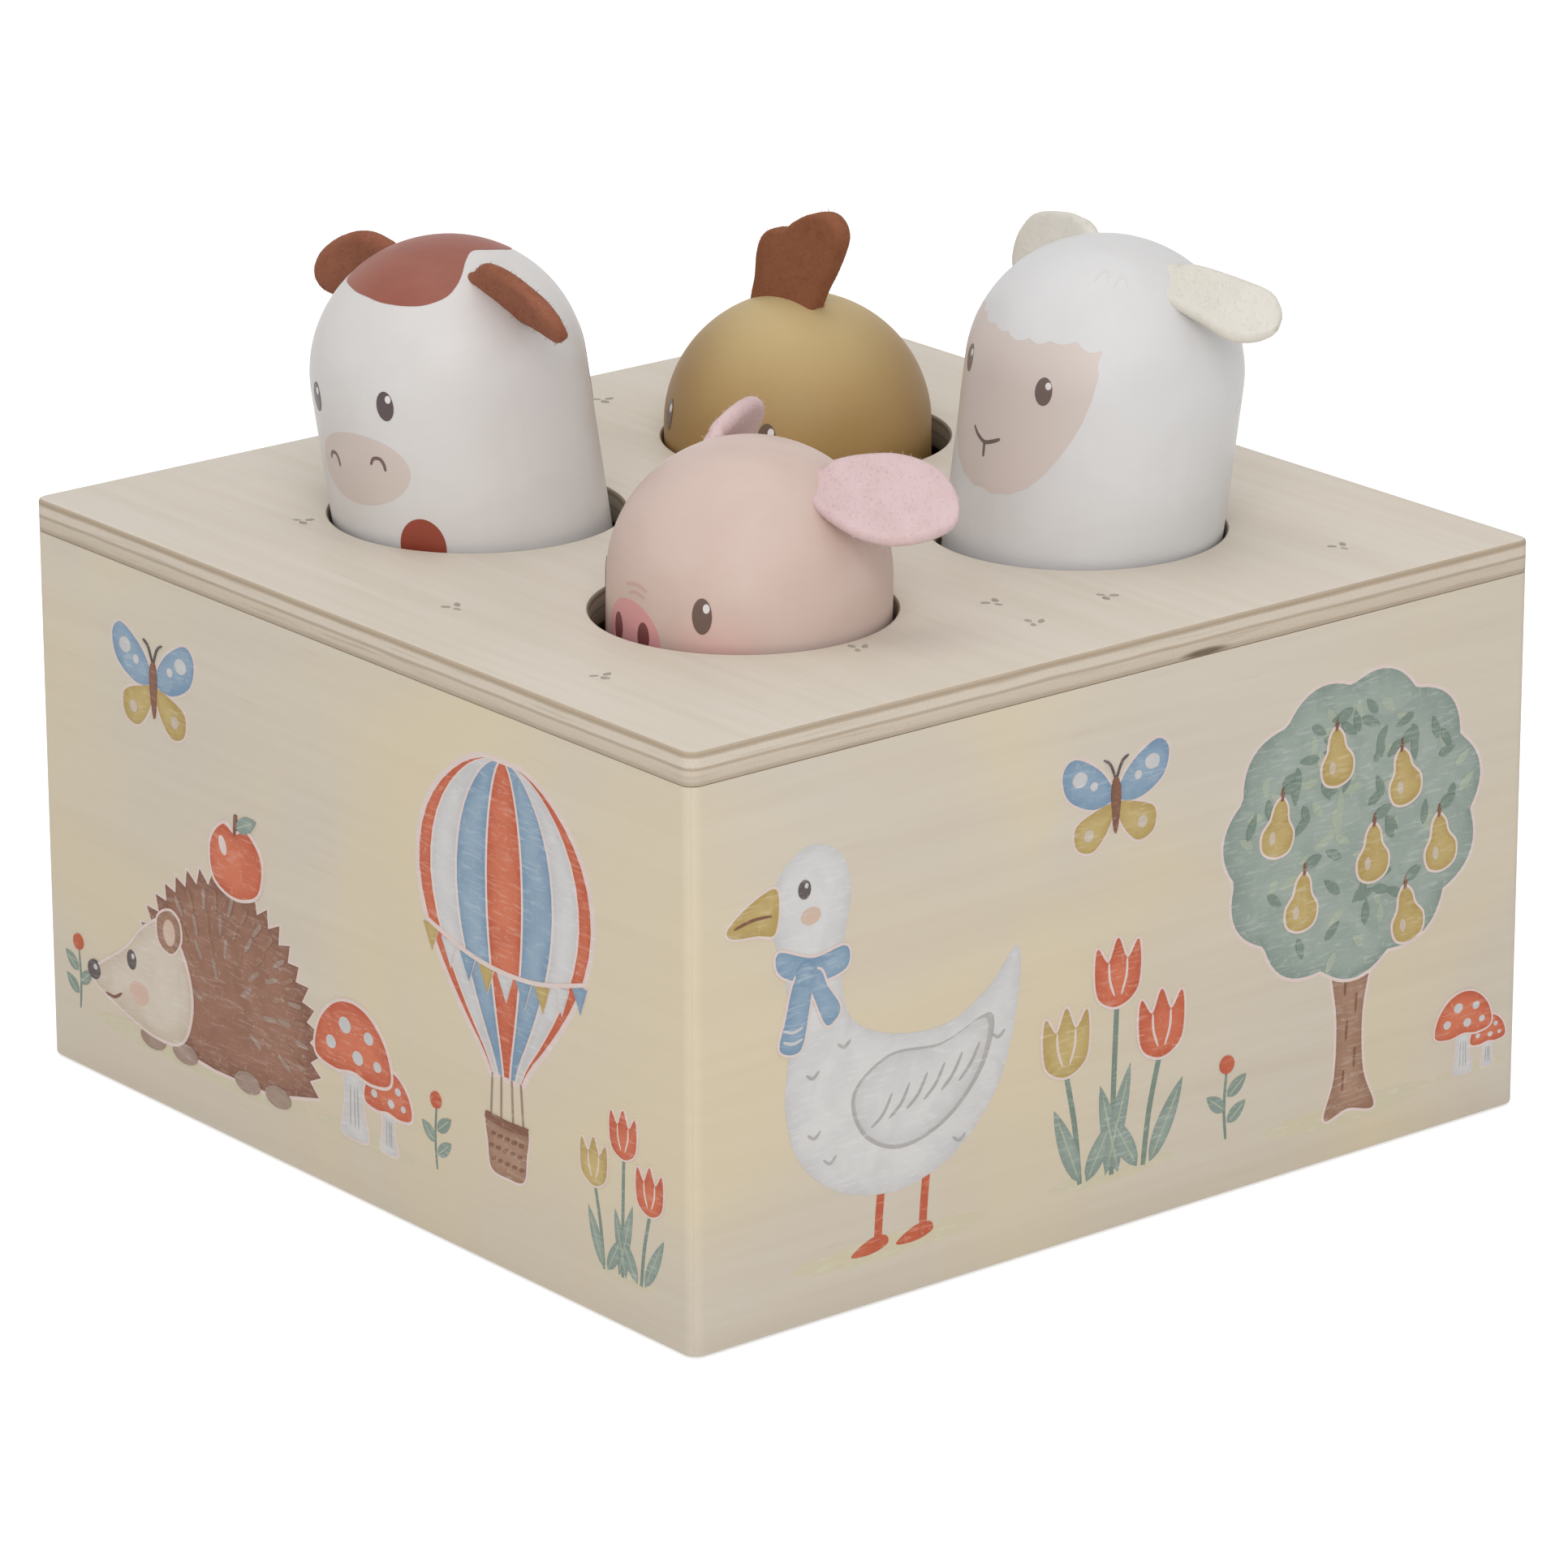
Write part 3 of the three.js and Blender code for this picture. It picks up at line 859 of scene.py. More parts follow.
def filled(outline: Outline, pitch: float) -> tuple[list[Point], list[tuple[int, int, int]]]:
    """Fills an outline with even triangles.

    Args:
        outline: a closed outline.
        pitch: distance of the points inside.

    Returns:
        The points and the triangles over them, anticlockwise.
    """
    ring = list(outline) if area(outline) > 0 else list(reversed(outline))
    corners = np.array(ring)
    low, high = corners.min(0), corners.max(0)
    xs, ys = np.arange(low[0] + pitch / 2, high[0], pitch), np.arange(low[1] + pitch / 2, high[1], pitch)
    inside = []
    ends = np.roll(corners, -1, 0)
    spans = ends - corners
    for y in ys:
        crosses = (corners[:, 1] > y) != (ends[:, 1] > y)
        cuts = corners[crosses, 0] + (y - corners[crosses, 1]) * spans[crosses, 0] / spans[crosses, 1]
        for x in xs:
            if np.sum(cuts > x) % 2 and rim_gap((x, y), corners, spans) > pitch * 0.4:
                inside.append((x, y))
    points = [Vector(p) for p in [*ring, *inside]]
    edges = [(k, (k + 1) % len(ring)) for k in range(len(ring))]
    verts, _, faces, *_ = geometry.delaunay_2d_cdt(points, edges, [], 1, 1e-5)
    flat = [tuple(v) for v in verts]
    triangles = [tuple(t) if area([flat[i] for i in t]) > 0 else tuple(reversed(t)) for t in faces]
    return flat, triangles


# Printed design


def widened(outline: Outline, margin: float) -> list[Point]:
    """An outline moved outwards by a margin.

    Args:
        outline: closed.
        margin: how far it moves.

    Returns:
        The new outline, anticlockwise.
    """
    ring = np.array(outline if area(outline) > 0 else list(reversed(outline)))
    way = np.roll(ring, -1, 0) - np.roll(ring, 1, 0)
    way /= np.maximum(np.linalg.norm(way, axis=1, keepdims=True), 1e-9)
    return [tuple(p) for p in ring + np.stack([way[:, 1], -way[:, 0]], 1) * margin]


class Motif:
    """Printed shapes in layers, in millimetres about the middle of the motif's foot."""

    coarse: float = 9.0
    rim: float = 1.3
    depth: float = 0.2
    lift: float = 0.02

    def __init__(self) -> None:
        """Starts without shapes."""
        self.shapes: list[tuple[list, list, list, int, Ink]] = []

    def draw(self) -> None:
        """Draws the motif's shapes."""

    def fill(self, outline: Outline, ink: Ink, level: int, border: float = 0.0, pitch: float = 1.1) -> None:
        """Fills an outline.

        Args:
            outline: closed.
            ink: its colour.
            level: higher levels cover lower ones.
            border: width of a pale border round it.
            pitch: distance of the points inside.
        """
        if border:
            self.fill(widened(outline, border), Ink.PALE, level - 1, pitch=self.coarse)
        flat, triangles = filled(outline, pitch)
        ring = np.array(outline)
        spans = np.roll(ring, -1, 0) - ring
        shares = [math.exp(-rim_gap(point, ring, spans) / self.rim) for point in flat]
        self.shapes.append((flat, triangles, shares, level, ink))

    def blob(self, points: Outline, ink: Ink, level: int, border: float = 0.0) -> None:
        """Fills a smooth outline through points."""
        self.fill(smooth_line(points, 7), ink, level, border)

    def oval(self, x: float, y: float, rx: float, ry: float, ink: Ink, level: int, turn: float = 0.0) -> None:
        """Fills an oval."""
        self.fill(ellipse(x, y, rx, ry, 26, turn), ink, level)

    def stroke(self, points: Outline, width: float, ink: Ink, level: int, taper: float = 0.75) -> None:
        """Draws a brush stroke, which is thinner at its ends by the taper.

        Args:
            points: that it passes through.
            width: at its middle.
            ink: its colour.
            level: its layer.
            taper: how much thinner its ends are.
        """
        line = np.array(smooth_line(points, 6, closed=False))
        half = width / 2 * (1 - taper * np.linspace(-1, 1, len(line)) ** 4)
        self.fill(ribbon(line, half), ink, level, pitch=self.coarse)

    def leaf(
        self, x: float, y: float, length: float, width: float, angle: float, ink: Ink, level: int,
        vein: bool = True,
    ) -> None:
        """Draws a pointed leaf from its foot, with a vein.

        Args:
            x, y: of its foot.
            length: to its tip.
            width: at its widest.
            angle: of its middle line.
            ink: its colour.
            level: its layer.
            vein: whether it has one.
        """
        shares = [k / 8 for k in range(9)]
        wide = [width / 2 * math.sin(math.pi * t**0.8) ** 0.8 for t in shares]
        side = [(t * length, w) for t, w in zip(shares, wide)]
        flat = side + [(px, -py) for px, py in reversed(side[1:-1])]
        self.fill(moved(flat, x, y, angle), ink, level)
        if vein:
            line = moved([(t * length, 0.0) for t in (0.08, 0.5, 0.85)], x, y, angle)
            self.stroke(line, width * 0.08 + 0.1, Ink.LIGHT_LEAF, level + 1)

    def eye(self, x: float, y: float, size: float, level: int) -> None:
        """Draws a dark oval eye with a light spot."""
        self.oval(x, y, size * 0.78, size, Ink.DARK, level)
        self.oval(x + size * 0.22, y + size * 0.38, size * 0.24, size * 0.28, Ink.WHITE, level + 1)

    def piece(self, name: str, place: Callable, mirrored: bool) -> Piece:
        """Builds all shapes as one piece of thin layers.

        Args:
            name: the piece's name.
            place: gives a point's position for its plane coordinates and a lift.
            mirrored: whether the place mirrors the motif.

        Returns:
            The piece.
        """
        inks = sorted({shape[4] for shape in self.shapes}, key=lambda ink: ink.name)
        verts, faces, kinds, shares = [], [], [], []
        step = self.depth / len(self.shapes)
        layers = sorted(self.shapes, key=lambda shape: shape[3])
        for rank, (flat, triangles, shade, _, ink) in enumerate(layers):
            made, sides = shell(flat, triangles, place, -self.lift, self.lift + step * rank)
            base = len(verts)
            verts += made
            faces += [tuple(base + i for i in (reversed(f) if mirrored else f)) for f in sides]
            kinds += [inks.index(ink)] * len(sides)
            shares += shade + shade
        piece = make_piece(name, verts, faces, [print_material(ink) for ink in inks], kinds)
        attribute = piece.data.attributes.new("rim_share", "FLOAT", "POINT")
        attribute.data.foreach_set("value", shares)
        return piece


ENVELOPE = (
    (14, 3.2), (17, 5.2), (21, 8.9), (27, 13.6), (33, 16.9), (39, 18.2), (45, 17.2), (50, 14.2), (54, 9.6),
    (56.2, 5.0), (57, 0.1),
)
ENVELOPE_LINE = np.array(smooth_line(ENVELOPE, 8, closed=False)).T


class Balloon(Motif):
    """A hot-air balloon of seven gores with bunting and a wicker basket."""

    def half(self, y: float) -> float:
        """Half width of the envelope at a height."""
        return float(np.interp(y, *ENVELOPE_LINE))

    def gore(self, first: float, last: float, margin: float) -> list[Point]:
        """The outline between two meridians, given as angles off the middle.

        Args:
            first: the left meridian.
            last: the right one.
            margin: left free at each side.

        Returns:
            The closed outline.
        """
        ys = [14.3 + 42.2 * (1 - math.cos(math.pi * k / 22)) / 2 for k in range(23)]
        left = [(self.half(y) * math.sin(math.radians(first)) + margin, y) for y in ys]
        right = [(self.half(y) * math.sin(math.radians(last)) - margin, y) for y in ys]
        joined = [(min(a[0], b[0]), a[1]) for a, b in zip(left, right)]
        return joined + [(max(b[0], a[0] + 0.05), b[1]) for a, b in zip(reversed(left), reversed(right))]

    def draw(self) -> None:
        """Draws the balloon."""
        self.fill(widened(self.gore(-90, 90, 0), 0.7), Ink.PALE, 1, pitch=self.coarse)
        edges = (-90, -58, -34, -12, 12, 34, 58, 90)
        inks = (Ink.RED, Ink.WHITE, Ink.BLUE, Ink.RED, Ink.BLUE, Ink.WHITE, Ink.RED)
        for first, last, ink in zip(edges, edges[1:], inks):
            self.fill(self.gore(first, last, 0.22), ink, 2)
        for k in range(9):
            x = -15.6 + 3.9 * k
            sag = 31.5 - 3.2 * (1 - (x / 17) ** 2)
            flag = [(x - 1.6, sag), (x + 1.6, sag), (x + 0.2, sag - 3.6)]
            self.fill(flag, (Ink.MUSTARD, Ink.WHITE, Ink.BLUE)[k % 3], 5, 0.25)
        cord = [(x, 31.7 - 3.2 * (1 - (x / 17) ** 2)) for x in (-16.6, -8, 0, 8, 16.6)]
        self.stroke(cord, 0.6, Ink.PALE, 6, 0.1)
        for x in (-3.0, -1.1, 1.1, 3.0):
            self.stroke([(x, 14.2), (x * 1.15, 8.0)], 0.4, Ink.TAUPE, 2, 0.1)
        basket = [(-4.3, 8), (-4.1, 4.5), (-3.4, 1.0), (0, 0.5), (3.4, 1.0), (4.1, 4.5), (4.3, 8), (0, 7.8)]
        self.blob(basket, Ink.BARK, 3, 0.35)
        for row, y in enumerate((2.3, 4.0, 5.7)):
            for k in range(5):
                x = -3.0 + 1.5 * k - 0.4 * (row % 2)
                self.stroke([(x - 0.5, y), (x + 0.5, y + 0.3)], 0.5, Ink.BROWN, 4)
        self.stroke([(-4.5, 8.1), (0, 7.8), (4.5, 8.1)], 1.1, Ink.BROWN, 5, 0.2)


class Hedgehog(Motif):
    """A hedgehog with an apple on its back."""

    def draw(self) -> None:
        """Draws the hedgehog."""
        chance = random.Random(5)
        self.oval(0, 1.0, 21, 1.6, Ink.GROUND, 1)
        spikes = []
        for k in range(51):
            angle = math.radians(-14 + 212 * k / 50)
            reach = 1.0 if k % 2 else 1.1 + 0.03 * chance.random()
            spikes.append((5.5 + 16.5 * reach * math.cos(angle), 7.8 + 16 * reach * math.sin(angle)))
        self.fill([*spikes, (-9, 2.0), (3, 1.0), (14, 1.2), (19, 2.4)], Ink.BROWN, 3, 0.45)
        for row, (reach, count) in enumerate(((0.28, 7), (0.46, 11), (0.64, 15), (0.82, 19))):
            for k in range(count):
                angle = math.radians(-12 + 186 * (k + 0.5 * (row % 2)) / (count - 1))
                x, y = 5.5 + 16.5 * reach * math.cos(angle), 8.4 + 15 * reach * math.sin(angle)
                lean = angle - 0.35 + 0.3 * chance.random()
                tip = (x + 2.7 * math.cos(lean), y + 2.7 * math.sin(lean))
                self.stroke([(x, y), tip], 0.62, Ink.BARK if (k + row) % 2 else Ink.TAUPE, 4, 0.9)
        for x in (-9.5, -3, 9.5, 15.5):
            self.oval(x, 1.3, 2.5, 1.3, Ink.TAUPE, 4)
        face = [
            (-6.5, 16.5), (-10.8, 14.6), (-14.4, 11.2), (-19.5, 7.9), (-21.4, 6.5), (-20.8, 5.0),
            (-15.5, 3.2), (-9, 1.8), (-3.5, 2.6), (-1.4, 7.6), (-2.8, 13),
        ]
        self.blob(face, Ink.CREAM, 6, 0.35)
        ear = [(-5.4, 18.2), (-7.8, 16.8), (-7.6, 13.9), (-5.2, 13.0), (-3.4, 14.8), (-3.5, 17.2)]
        self.blob(ear, Ink.BARK, 8, 0.3)
        self.oval(-5.5, 15.5, 1.2, 1.6, Ink.BLUSH, 9)
        self.oval(-12.0, 6.2, 2.0, 1.5, Ink.BLUSH, 7)
        self.oval(-21.3, 6.6, 1.35, 1.2, Ink.DARK, 8)
        self.oval(-21.0, 7.0, 0.4, 0.35, Ink.WHITE, 9)
        self.eye(-13.4, 10.0, 1.25, 8)
        self.stroke([(-19.0, 4.4), (-17.2, 4.3), (-15.6, 5.2)], 0.42, Ink.BROWN, 8)
        apple = [
            (8, 23.5), (3.9, 25.0), (3.4, 29.2), (5.9, 31.9), (8.2, 31.2), (10.6, 31.9), (13.2, 29.2),
            (12.4, 25.0),
        ]
        self.blob(apple, Ink.RED, 8, 0.4)
        self.oval(5.8, 29.3, 0.7, 1.2, Ink.PALE, 9, 20)
        self.stroke([(8.2, 31.0), (8.4, 33.6)], 0.6, Ink.BROWN, 10, 0.2)
        self.leaf(8.5, 32.0, 4.2, 2.0, 24, Ink.SAGE, 9)


class Toadstools(Motif):
    """A large and a small toadstool with spotted caps."""

    def mushroom(self, x: float, size: float, level: int) -> None:
        """Draws one toadstool.

        Args:
            x: of its foot.
            size: as a share of the large one.
            level: its lowest layer.
        """
        def at(points: Outline) -> list[Point]:
            """Points of the large one moved to this one's place."""
            return [(x + px * size, py * size) for px, py in points]

        stem = [(-2.4, 0.3), (-1.7, 4), (-1.5, 9), (1.5, 9), (1.7, 4), (2.6, 0.3), (0, -0.2)]
        self.blob(at(stem), Ink.WHITE, level, 0.3)
        for px in (-0.7, 0.2, 0.9):
            self.stroke(at([(px, 1.2), (px * 0.8, 6.4)]), 0.25, Ink.GREY, level + 1)
        cap = [
            (-7.2, 8.6), (-6.5, 12.4), (-3.6, 15.4), (0, 16.4), (3.6, 15.4), (6.5, 12.4), (7.2, 8.6),
            (3.6, 7.6), (0, 8.1), (-3.6, 7.6),
        ]
        self.blob(at(cap), Ink.RED, level + 2, 0.4)
        for px, py, r in (
            (-4.2, 10.6, 0.95), (-1.4, 13.4, 1.15), (1.0, 10.0, 1.0), (3.2, 13.0, 0.9), (4.8, 10.0, 0.75),
        ):
            self.oval(x + px * size, py * size, r * size, r * size * 0.85, Ink.WHITE, level + 3)

    def draw(self) -> None:
        """Draws both."""
        self.oval(2, 0.3, 9.5, 1.1, Ink.GROUND, 1)
        self.mushroom(6.6, 0.62, 3)
        self.mushroom(0.0, 1.0, 6)


class Goose(Motif):
    """A white goose with a blue scarf."""

    def draw(self) -> None:
        """Draws the goose."""
        self.oval(2, 0.6, 14, 1.4, Ink.GROUND, 1)
        for x, foot in ((0.4, -1.6), (6.8, 4.8)):
            self.stroke([(x + 0.6, 8.5), (x + 0.2, 4.5), (x, 1.2)], 1.1, Ink.RED, 2, 0.1)
            web = [(-1.8, 0.5), (0.6, 1.9), (3.0, 2.0), (3.4, 0.9), (1.0, 0.2)]
            self.blob([(foot + px, py) for px, py in web], Ink.RED, 3)
        body = [
            (-5.0, 8.6), (-10.6, 13.4), (-12.6, 20), (-12.0, 27.5), (-12.6, 35), (-14.4, 41.5), (-13.2, 47),
            (-9.0, 49.4), (-4.8, 47.6), (-3.4, 42.8), (-4.8, 35.5), (-3.6, 28.8), (2.0, 25.4), (10, 24.6),
            (16, 27.4), (20.4, 31.4), (20.2, 24), (17.4, 15.4), (11, 9), (3, 6.8),
        ]
        self.blob(body, Ink.WHITE, 4)
        wing = [
            (-3.2, 19.6), (2.0, 23.0), (9.5, 22.6), (16.6, 24.4), (15.6, 18.6), (10.4, 13.4), (3.6, 11.6),
            (-1.8, 14.4),
        ]
        self.blob(wing, Ink.GREY, 5)
        self.blob([(x * 0.93 + 0.3, y * 0.93 + 1.3) for x, y in wing], Ink.WHITE, 6)
        for k in range(6):
            x = -0.6 + 2.5 * k
            feather = [(x, 15.0 + 0.5 * k), (x + 1.7, 16.2 + 0.6 * k), (x + 3.0, 18.4 + 0.6 * k)]
            self.stroke(feather, 0.42, Ink.GREY, 7)
        for x, y in ((-8.6, 16), (-6.4, 12.6), (-8.8, 23), (12, 10.8), (17.6, 21.6), (-4.4, 25.6)):
            self.stroke([(x - 0.9, y + 0.3), (x, y - 0.3), (x + 0.9, y + 0.4)], 0.34, Ink.GREY, 7)
        bill = [(-13.7, 45.4), (-17.2, 44.6), (-20.4, 42.4), (-19.8, 41.2), (-16.4, 40.8), (-13.9, 40.6)]
        self.blob(bill, Ink.MUSTARD, 6, 0.3)
        self.stroke([(-19.6, 42.2), (-17, 42.7), (-14.4, 42.6)], 0.32, Ink.BROWN, 7)
        self.eye(-9.9, 44.6, 1.1, 7)
        self.oval(-9.0, 41.4, 1.4, 1.0, Ink.BLUSH, 6)
        scarf = (
            (8, [(-13.3, 35.6), (-8.8, 33.8), (-4.2, 34.4), (-4.2, 37.0), (-8.8, 36.6), (-13.5, 38.2)]),
            (10, [(-11.2, 34.8), (-12.6, 30.4), (-13.4, 27.0), (-10.6, 26.4), (-9.4, 30.6), (-9.0, 34.6)]),
            (10, [(-9.6, 34.8), (-8.4, 31.4), (-6.8, 28.4), (-5.0, 30.0), (-6.8, 33.0), (-7.8, 35.0)]),
        )
        for level, fold in scarf:
            self.blob(fold, Ink.BLUE, level, 0.3)
        self.oval(-9.7, 35.0, 1.5, 1.5, Ink.BLUE, 12)
        for y in (27.9, 29.2):
            self.stroke([(-13.0, y), (-11.6, y - 0.5), (-10.2, y - 0.2)], 0.36, Ink.WHITE, 11)


class Peartree(Motif):
    """A round pear tree with ripe fruit."""

    def pear(self, x: float, y: float, lean: float) -> None:
        """Draws a pear that hangs from a point.

        Args:
            x, y: of the point.
            lean: its angle.
        """
        shape = [
            (0, 0.1), (-0.9, -0.8), (-1.3, -2.4), (-2.3, -4.0), (-1.9, -5.9), (0, -6.6), (1.9, -5.9),
            (2.3, -4.0), (1.3, -2.4), (0.9, -0.8),
        ]
        self.blob(moved(shape, x, y, lean), Ink.MUSTARD, 8, 0.3)
        self.oval(*moved([(-0.8, -4.4)], x, y, lean)[0], 0.45, 0.8, Ink.CREAM, 9, lean)
        self.stroke([(x, y - 0.2), (x + 0.3, y + 1.3)], 0.45, Ink.BROWN, 9, 0.2)
        self.leaf(x + 0.2, y + 0.9, 2.6, 1.3, 20 + lean, Ink.LEAF, 10, vein=False)

    def draw(self) -> None:
        """Draws the tree."""
        chance = random.Random(17)
        self.oval(0, 0.6, 13, 1.4, Ink.GROUND, 1)
        trunk = [
            (-3.6, 0.2), (-2.2, 5), (-2.0, 12), (-3.0, 20), (0, 24), (3.2, 20), (2.0, 12), (2.3, 5),
            (4.0, 0.2), (0, 0.8),
        ]
        self.blob(trunk, Ink.BARK, 2, 0.35)
        for x, y in ((-0.9, 3), (0.8, 5.5), (-0.5, 9), (0.9, 12), (-0.8, 14.5)):
            self.stroke([(x, y), (x + 0.15, y + 2.6)], 0.4, Ink.BROWN, 3)
        crown = []
        for k in range(120):
            angle = 2 * math.pi * k / 120
            reach = 0.95 + 0.085 * abs(math.sin(5.5 * angle + 0.6))
            crown.append((19 * reach * math.cos(angle), 34.5 + 17.5 * reach * math.sin(angle)))
        self.fill(crown, Ink.SAGE, 4, 0.4)
        for k in range(110):
            reach, angle = math.sqrt(chance.random()) * 0.86, 2 * math.pi * chance.random()
            x, y = 19 * reach * math.cos(angle), 34.5 + 17.5 * reach * math.sin(angle)
            ink = Ink.LEAF if k % 2 else Ink.LIGHT_LEAF
            self.leaf(x, y, 2.2 + chance.random(), 1.1, 360 * chance.random(), ink, 5 + k % 2, vein=False)
        high = (-11, 40, -8), (-3, 46.5, 4), (7, 42, 10)
        low = (13, 33, 6), (-7.5, 30.5, -4), (3, 34, 0), (8, 25.5, 8)
        for x, y, lean in high + low:
            self.pear(x, y, lean)


class Butterfly(Motif):
    """A small blue butterfly."""

    def draw(self) -> None:
        """Draws the butterfly."""
        for side in (-1, 1):
            upper = [(0.3, 0.6), (2.4, 4.2), (6.6, 6.6), (8.6, 5.0), (7.6, 1.6), (3.6, -0.4)]
            lower = [(0.3, -0.4), (3.4, -0.8), (6.4, -2.2), (6.2, -5.0), (3.6, -5.8), (1.2, -3.4)]
            self.blob([(side * x, y) for x, y in upper], Ink.BLUE, 3, 0.35)
            self.blob([(side * x, y) for x, y in lower], Ink.MUSTARD, 3, 0.35)
            self.oval(side * 5.9, 3.9, 1.2, 1.0, Ink.WHITE, 4)
            self.oval(side * 3.6, 2.6, 0.6, 0.6, Ink.WHITE, 4)
            self.oval(side * 4.4, -3.6, 0.8, 0.8, Ink.CREAM, 4)
            self.stroke([(0, 2.6), (side * 0.9, 4.8), (side * 2.0, 5.6)], 0.3, Ink.DARK, 5)
        self.blob([(0, 3.2), (-0.75, 1.6), (-0.6, -1.6), (0, -4.2), (0.6, -1.6), (0.75, 1.6)], Ink.BROWN, 6)


class Tulips(Motif):
    """Three tulips of different heights."""

    def tulip(self, x: float, lean: float, height: float, ink: Ink, level: int) -> None:
        """Draws one tulip from its foot.

        Args:
            x: of its foot.
            lean: how far its head stands aside.
            height: of its stem.
            ink: of its petals.
            level: its layer.
        """
        top = x + lean
        self.stroke([(x, 0), (x + lean * 0.35, height * 0.5), (top, height)], 0.8, Ink.LEAF, 2, 0.1)
        head = [
            (0, -0.8), (-2.9, 0.6), (-3.6, 3.8), (-3.2, 7.0), (-1.5, 5.0), (0, 7.8), (1.5, 5.0), (3.2, 7.0),
            (3.6, 3.8), (2.9, 0.6),
        ]
        self.blob([(top + px, height + py) for px, py in head], ink, level, 0.35)
        for px in (-1.3, 1.3):
            rib = [(top + px * 0.4, height + 0.6), (top + px, height + 2.8), (top + px * 1.1, height + 5.0)]
            self.stroke(rib, 0.35, Ink.PALE, level + 1)

    def draw(self) -> None:
        """Draws the tulips and their leaves."""
        self.oval(0, 0.2, 10, 1.0, Ink.GROUND, 1)
        leaves = (-5, 11, 112), (-1, 14, 74), (1, 12, 104), (6, 11, 62), (4, 9, 120), (-4, 8, 60)
        for x, length, angle in leaves:
            self.leaf(x, 0.1, length, 2.6, angle, Ink.SAGE, 3)
        self.tulip(-5, -2.4, 15, Ink.MUSTARD, 6)
        self.tulip(0, 0.6, 22, Ink.RED, 6)
        self.tulip(5, 2.6, 14, Ink.RED, 6)


class Sprig(Motif):
    """A small sprig with paired leaves and a berry."""

    def draw(self) -> None:
        """Draws the sprig."""
        self.stroke([(0, 0), (0.3, 4), (0, 8.2)], 0.45, Ink.LEAF, 2, 0.3)
        for side, y in ((-1, 2.0), (1, 3.6), (-1, 5.2)):
            self.leaf(side * 0.2, y, 3.6, 1.8, 90 - side * 52, Ink.SAGE, 3)
        self.oval(0, 9.2, 1.1, 1.1, Ink.RED, 4)


LAYOUT = {
    "front": [
        (Hedgehog, -37, 8, 1.22, 1), (Toadstools, 0, 9, 1.2, 1), (Balloon, 35, 13, 1.05, 1),
        (Butterfly, -46, 63, 1.15, 1), (Sprig, -67, 9, 1.1, 1), (Sprig, 19, 10, 1.1, -1),
        (Tulips, 60, 7, 0.8, 1),
    ],
    "right": [
        (Goose, -44, 7, 1.22, 1), (Tulips, -2, 8, 1.15, 1), (Butterfly, -2, 62, 1.1, -1),
        (Peartree, 42, 6, 1.24, 1), (Sprig, 19, 8, 1.2, -1), (Toadstools, 64, 7, 0.75, 1),
    ],
    "back": [
        (Peartree, -38, 6, 1.2, -1), (Hedgehog, 30, 7, 1.2, -1), (Butterfly, 30, 61, 1.1, 1),
        (Sprig, 66, 8, 1.2, 1), (Toadstools, -9, 7, 1.0, 1),
    ],
    "left": [
        (Balloon, -38, 13, 1.05, 1), (Goose, 36, 7, 1.2, -1), (Tulips, -4, 7, 1.15, -1),
        (Sprig, -64, 9, 1.2, 1), (Sprig, 65, 8, 1.1, -1),
    ],
}


# Box


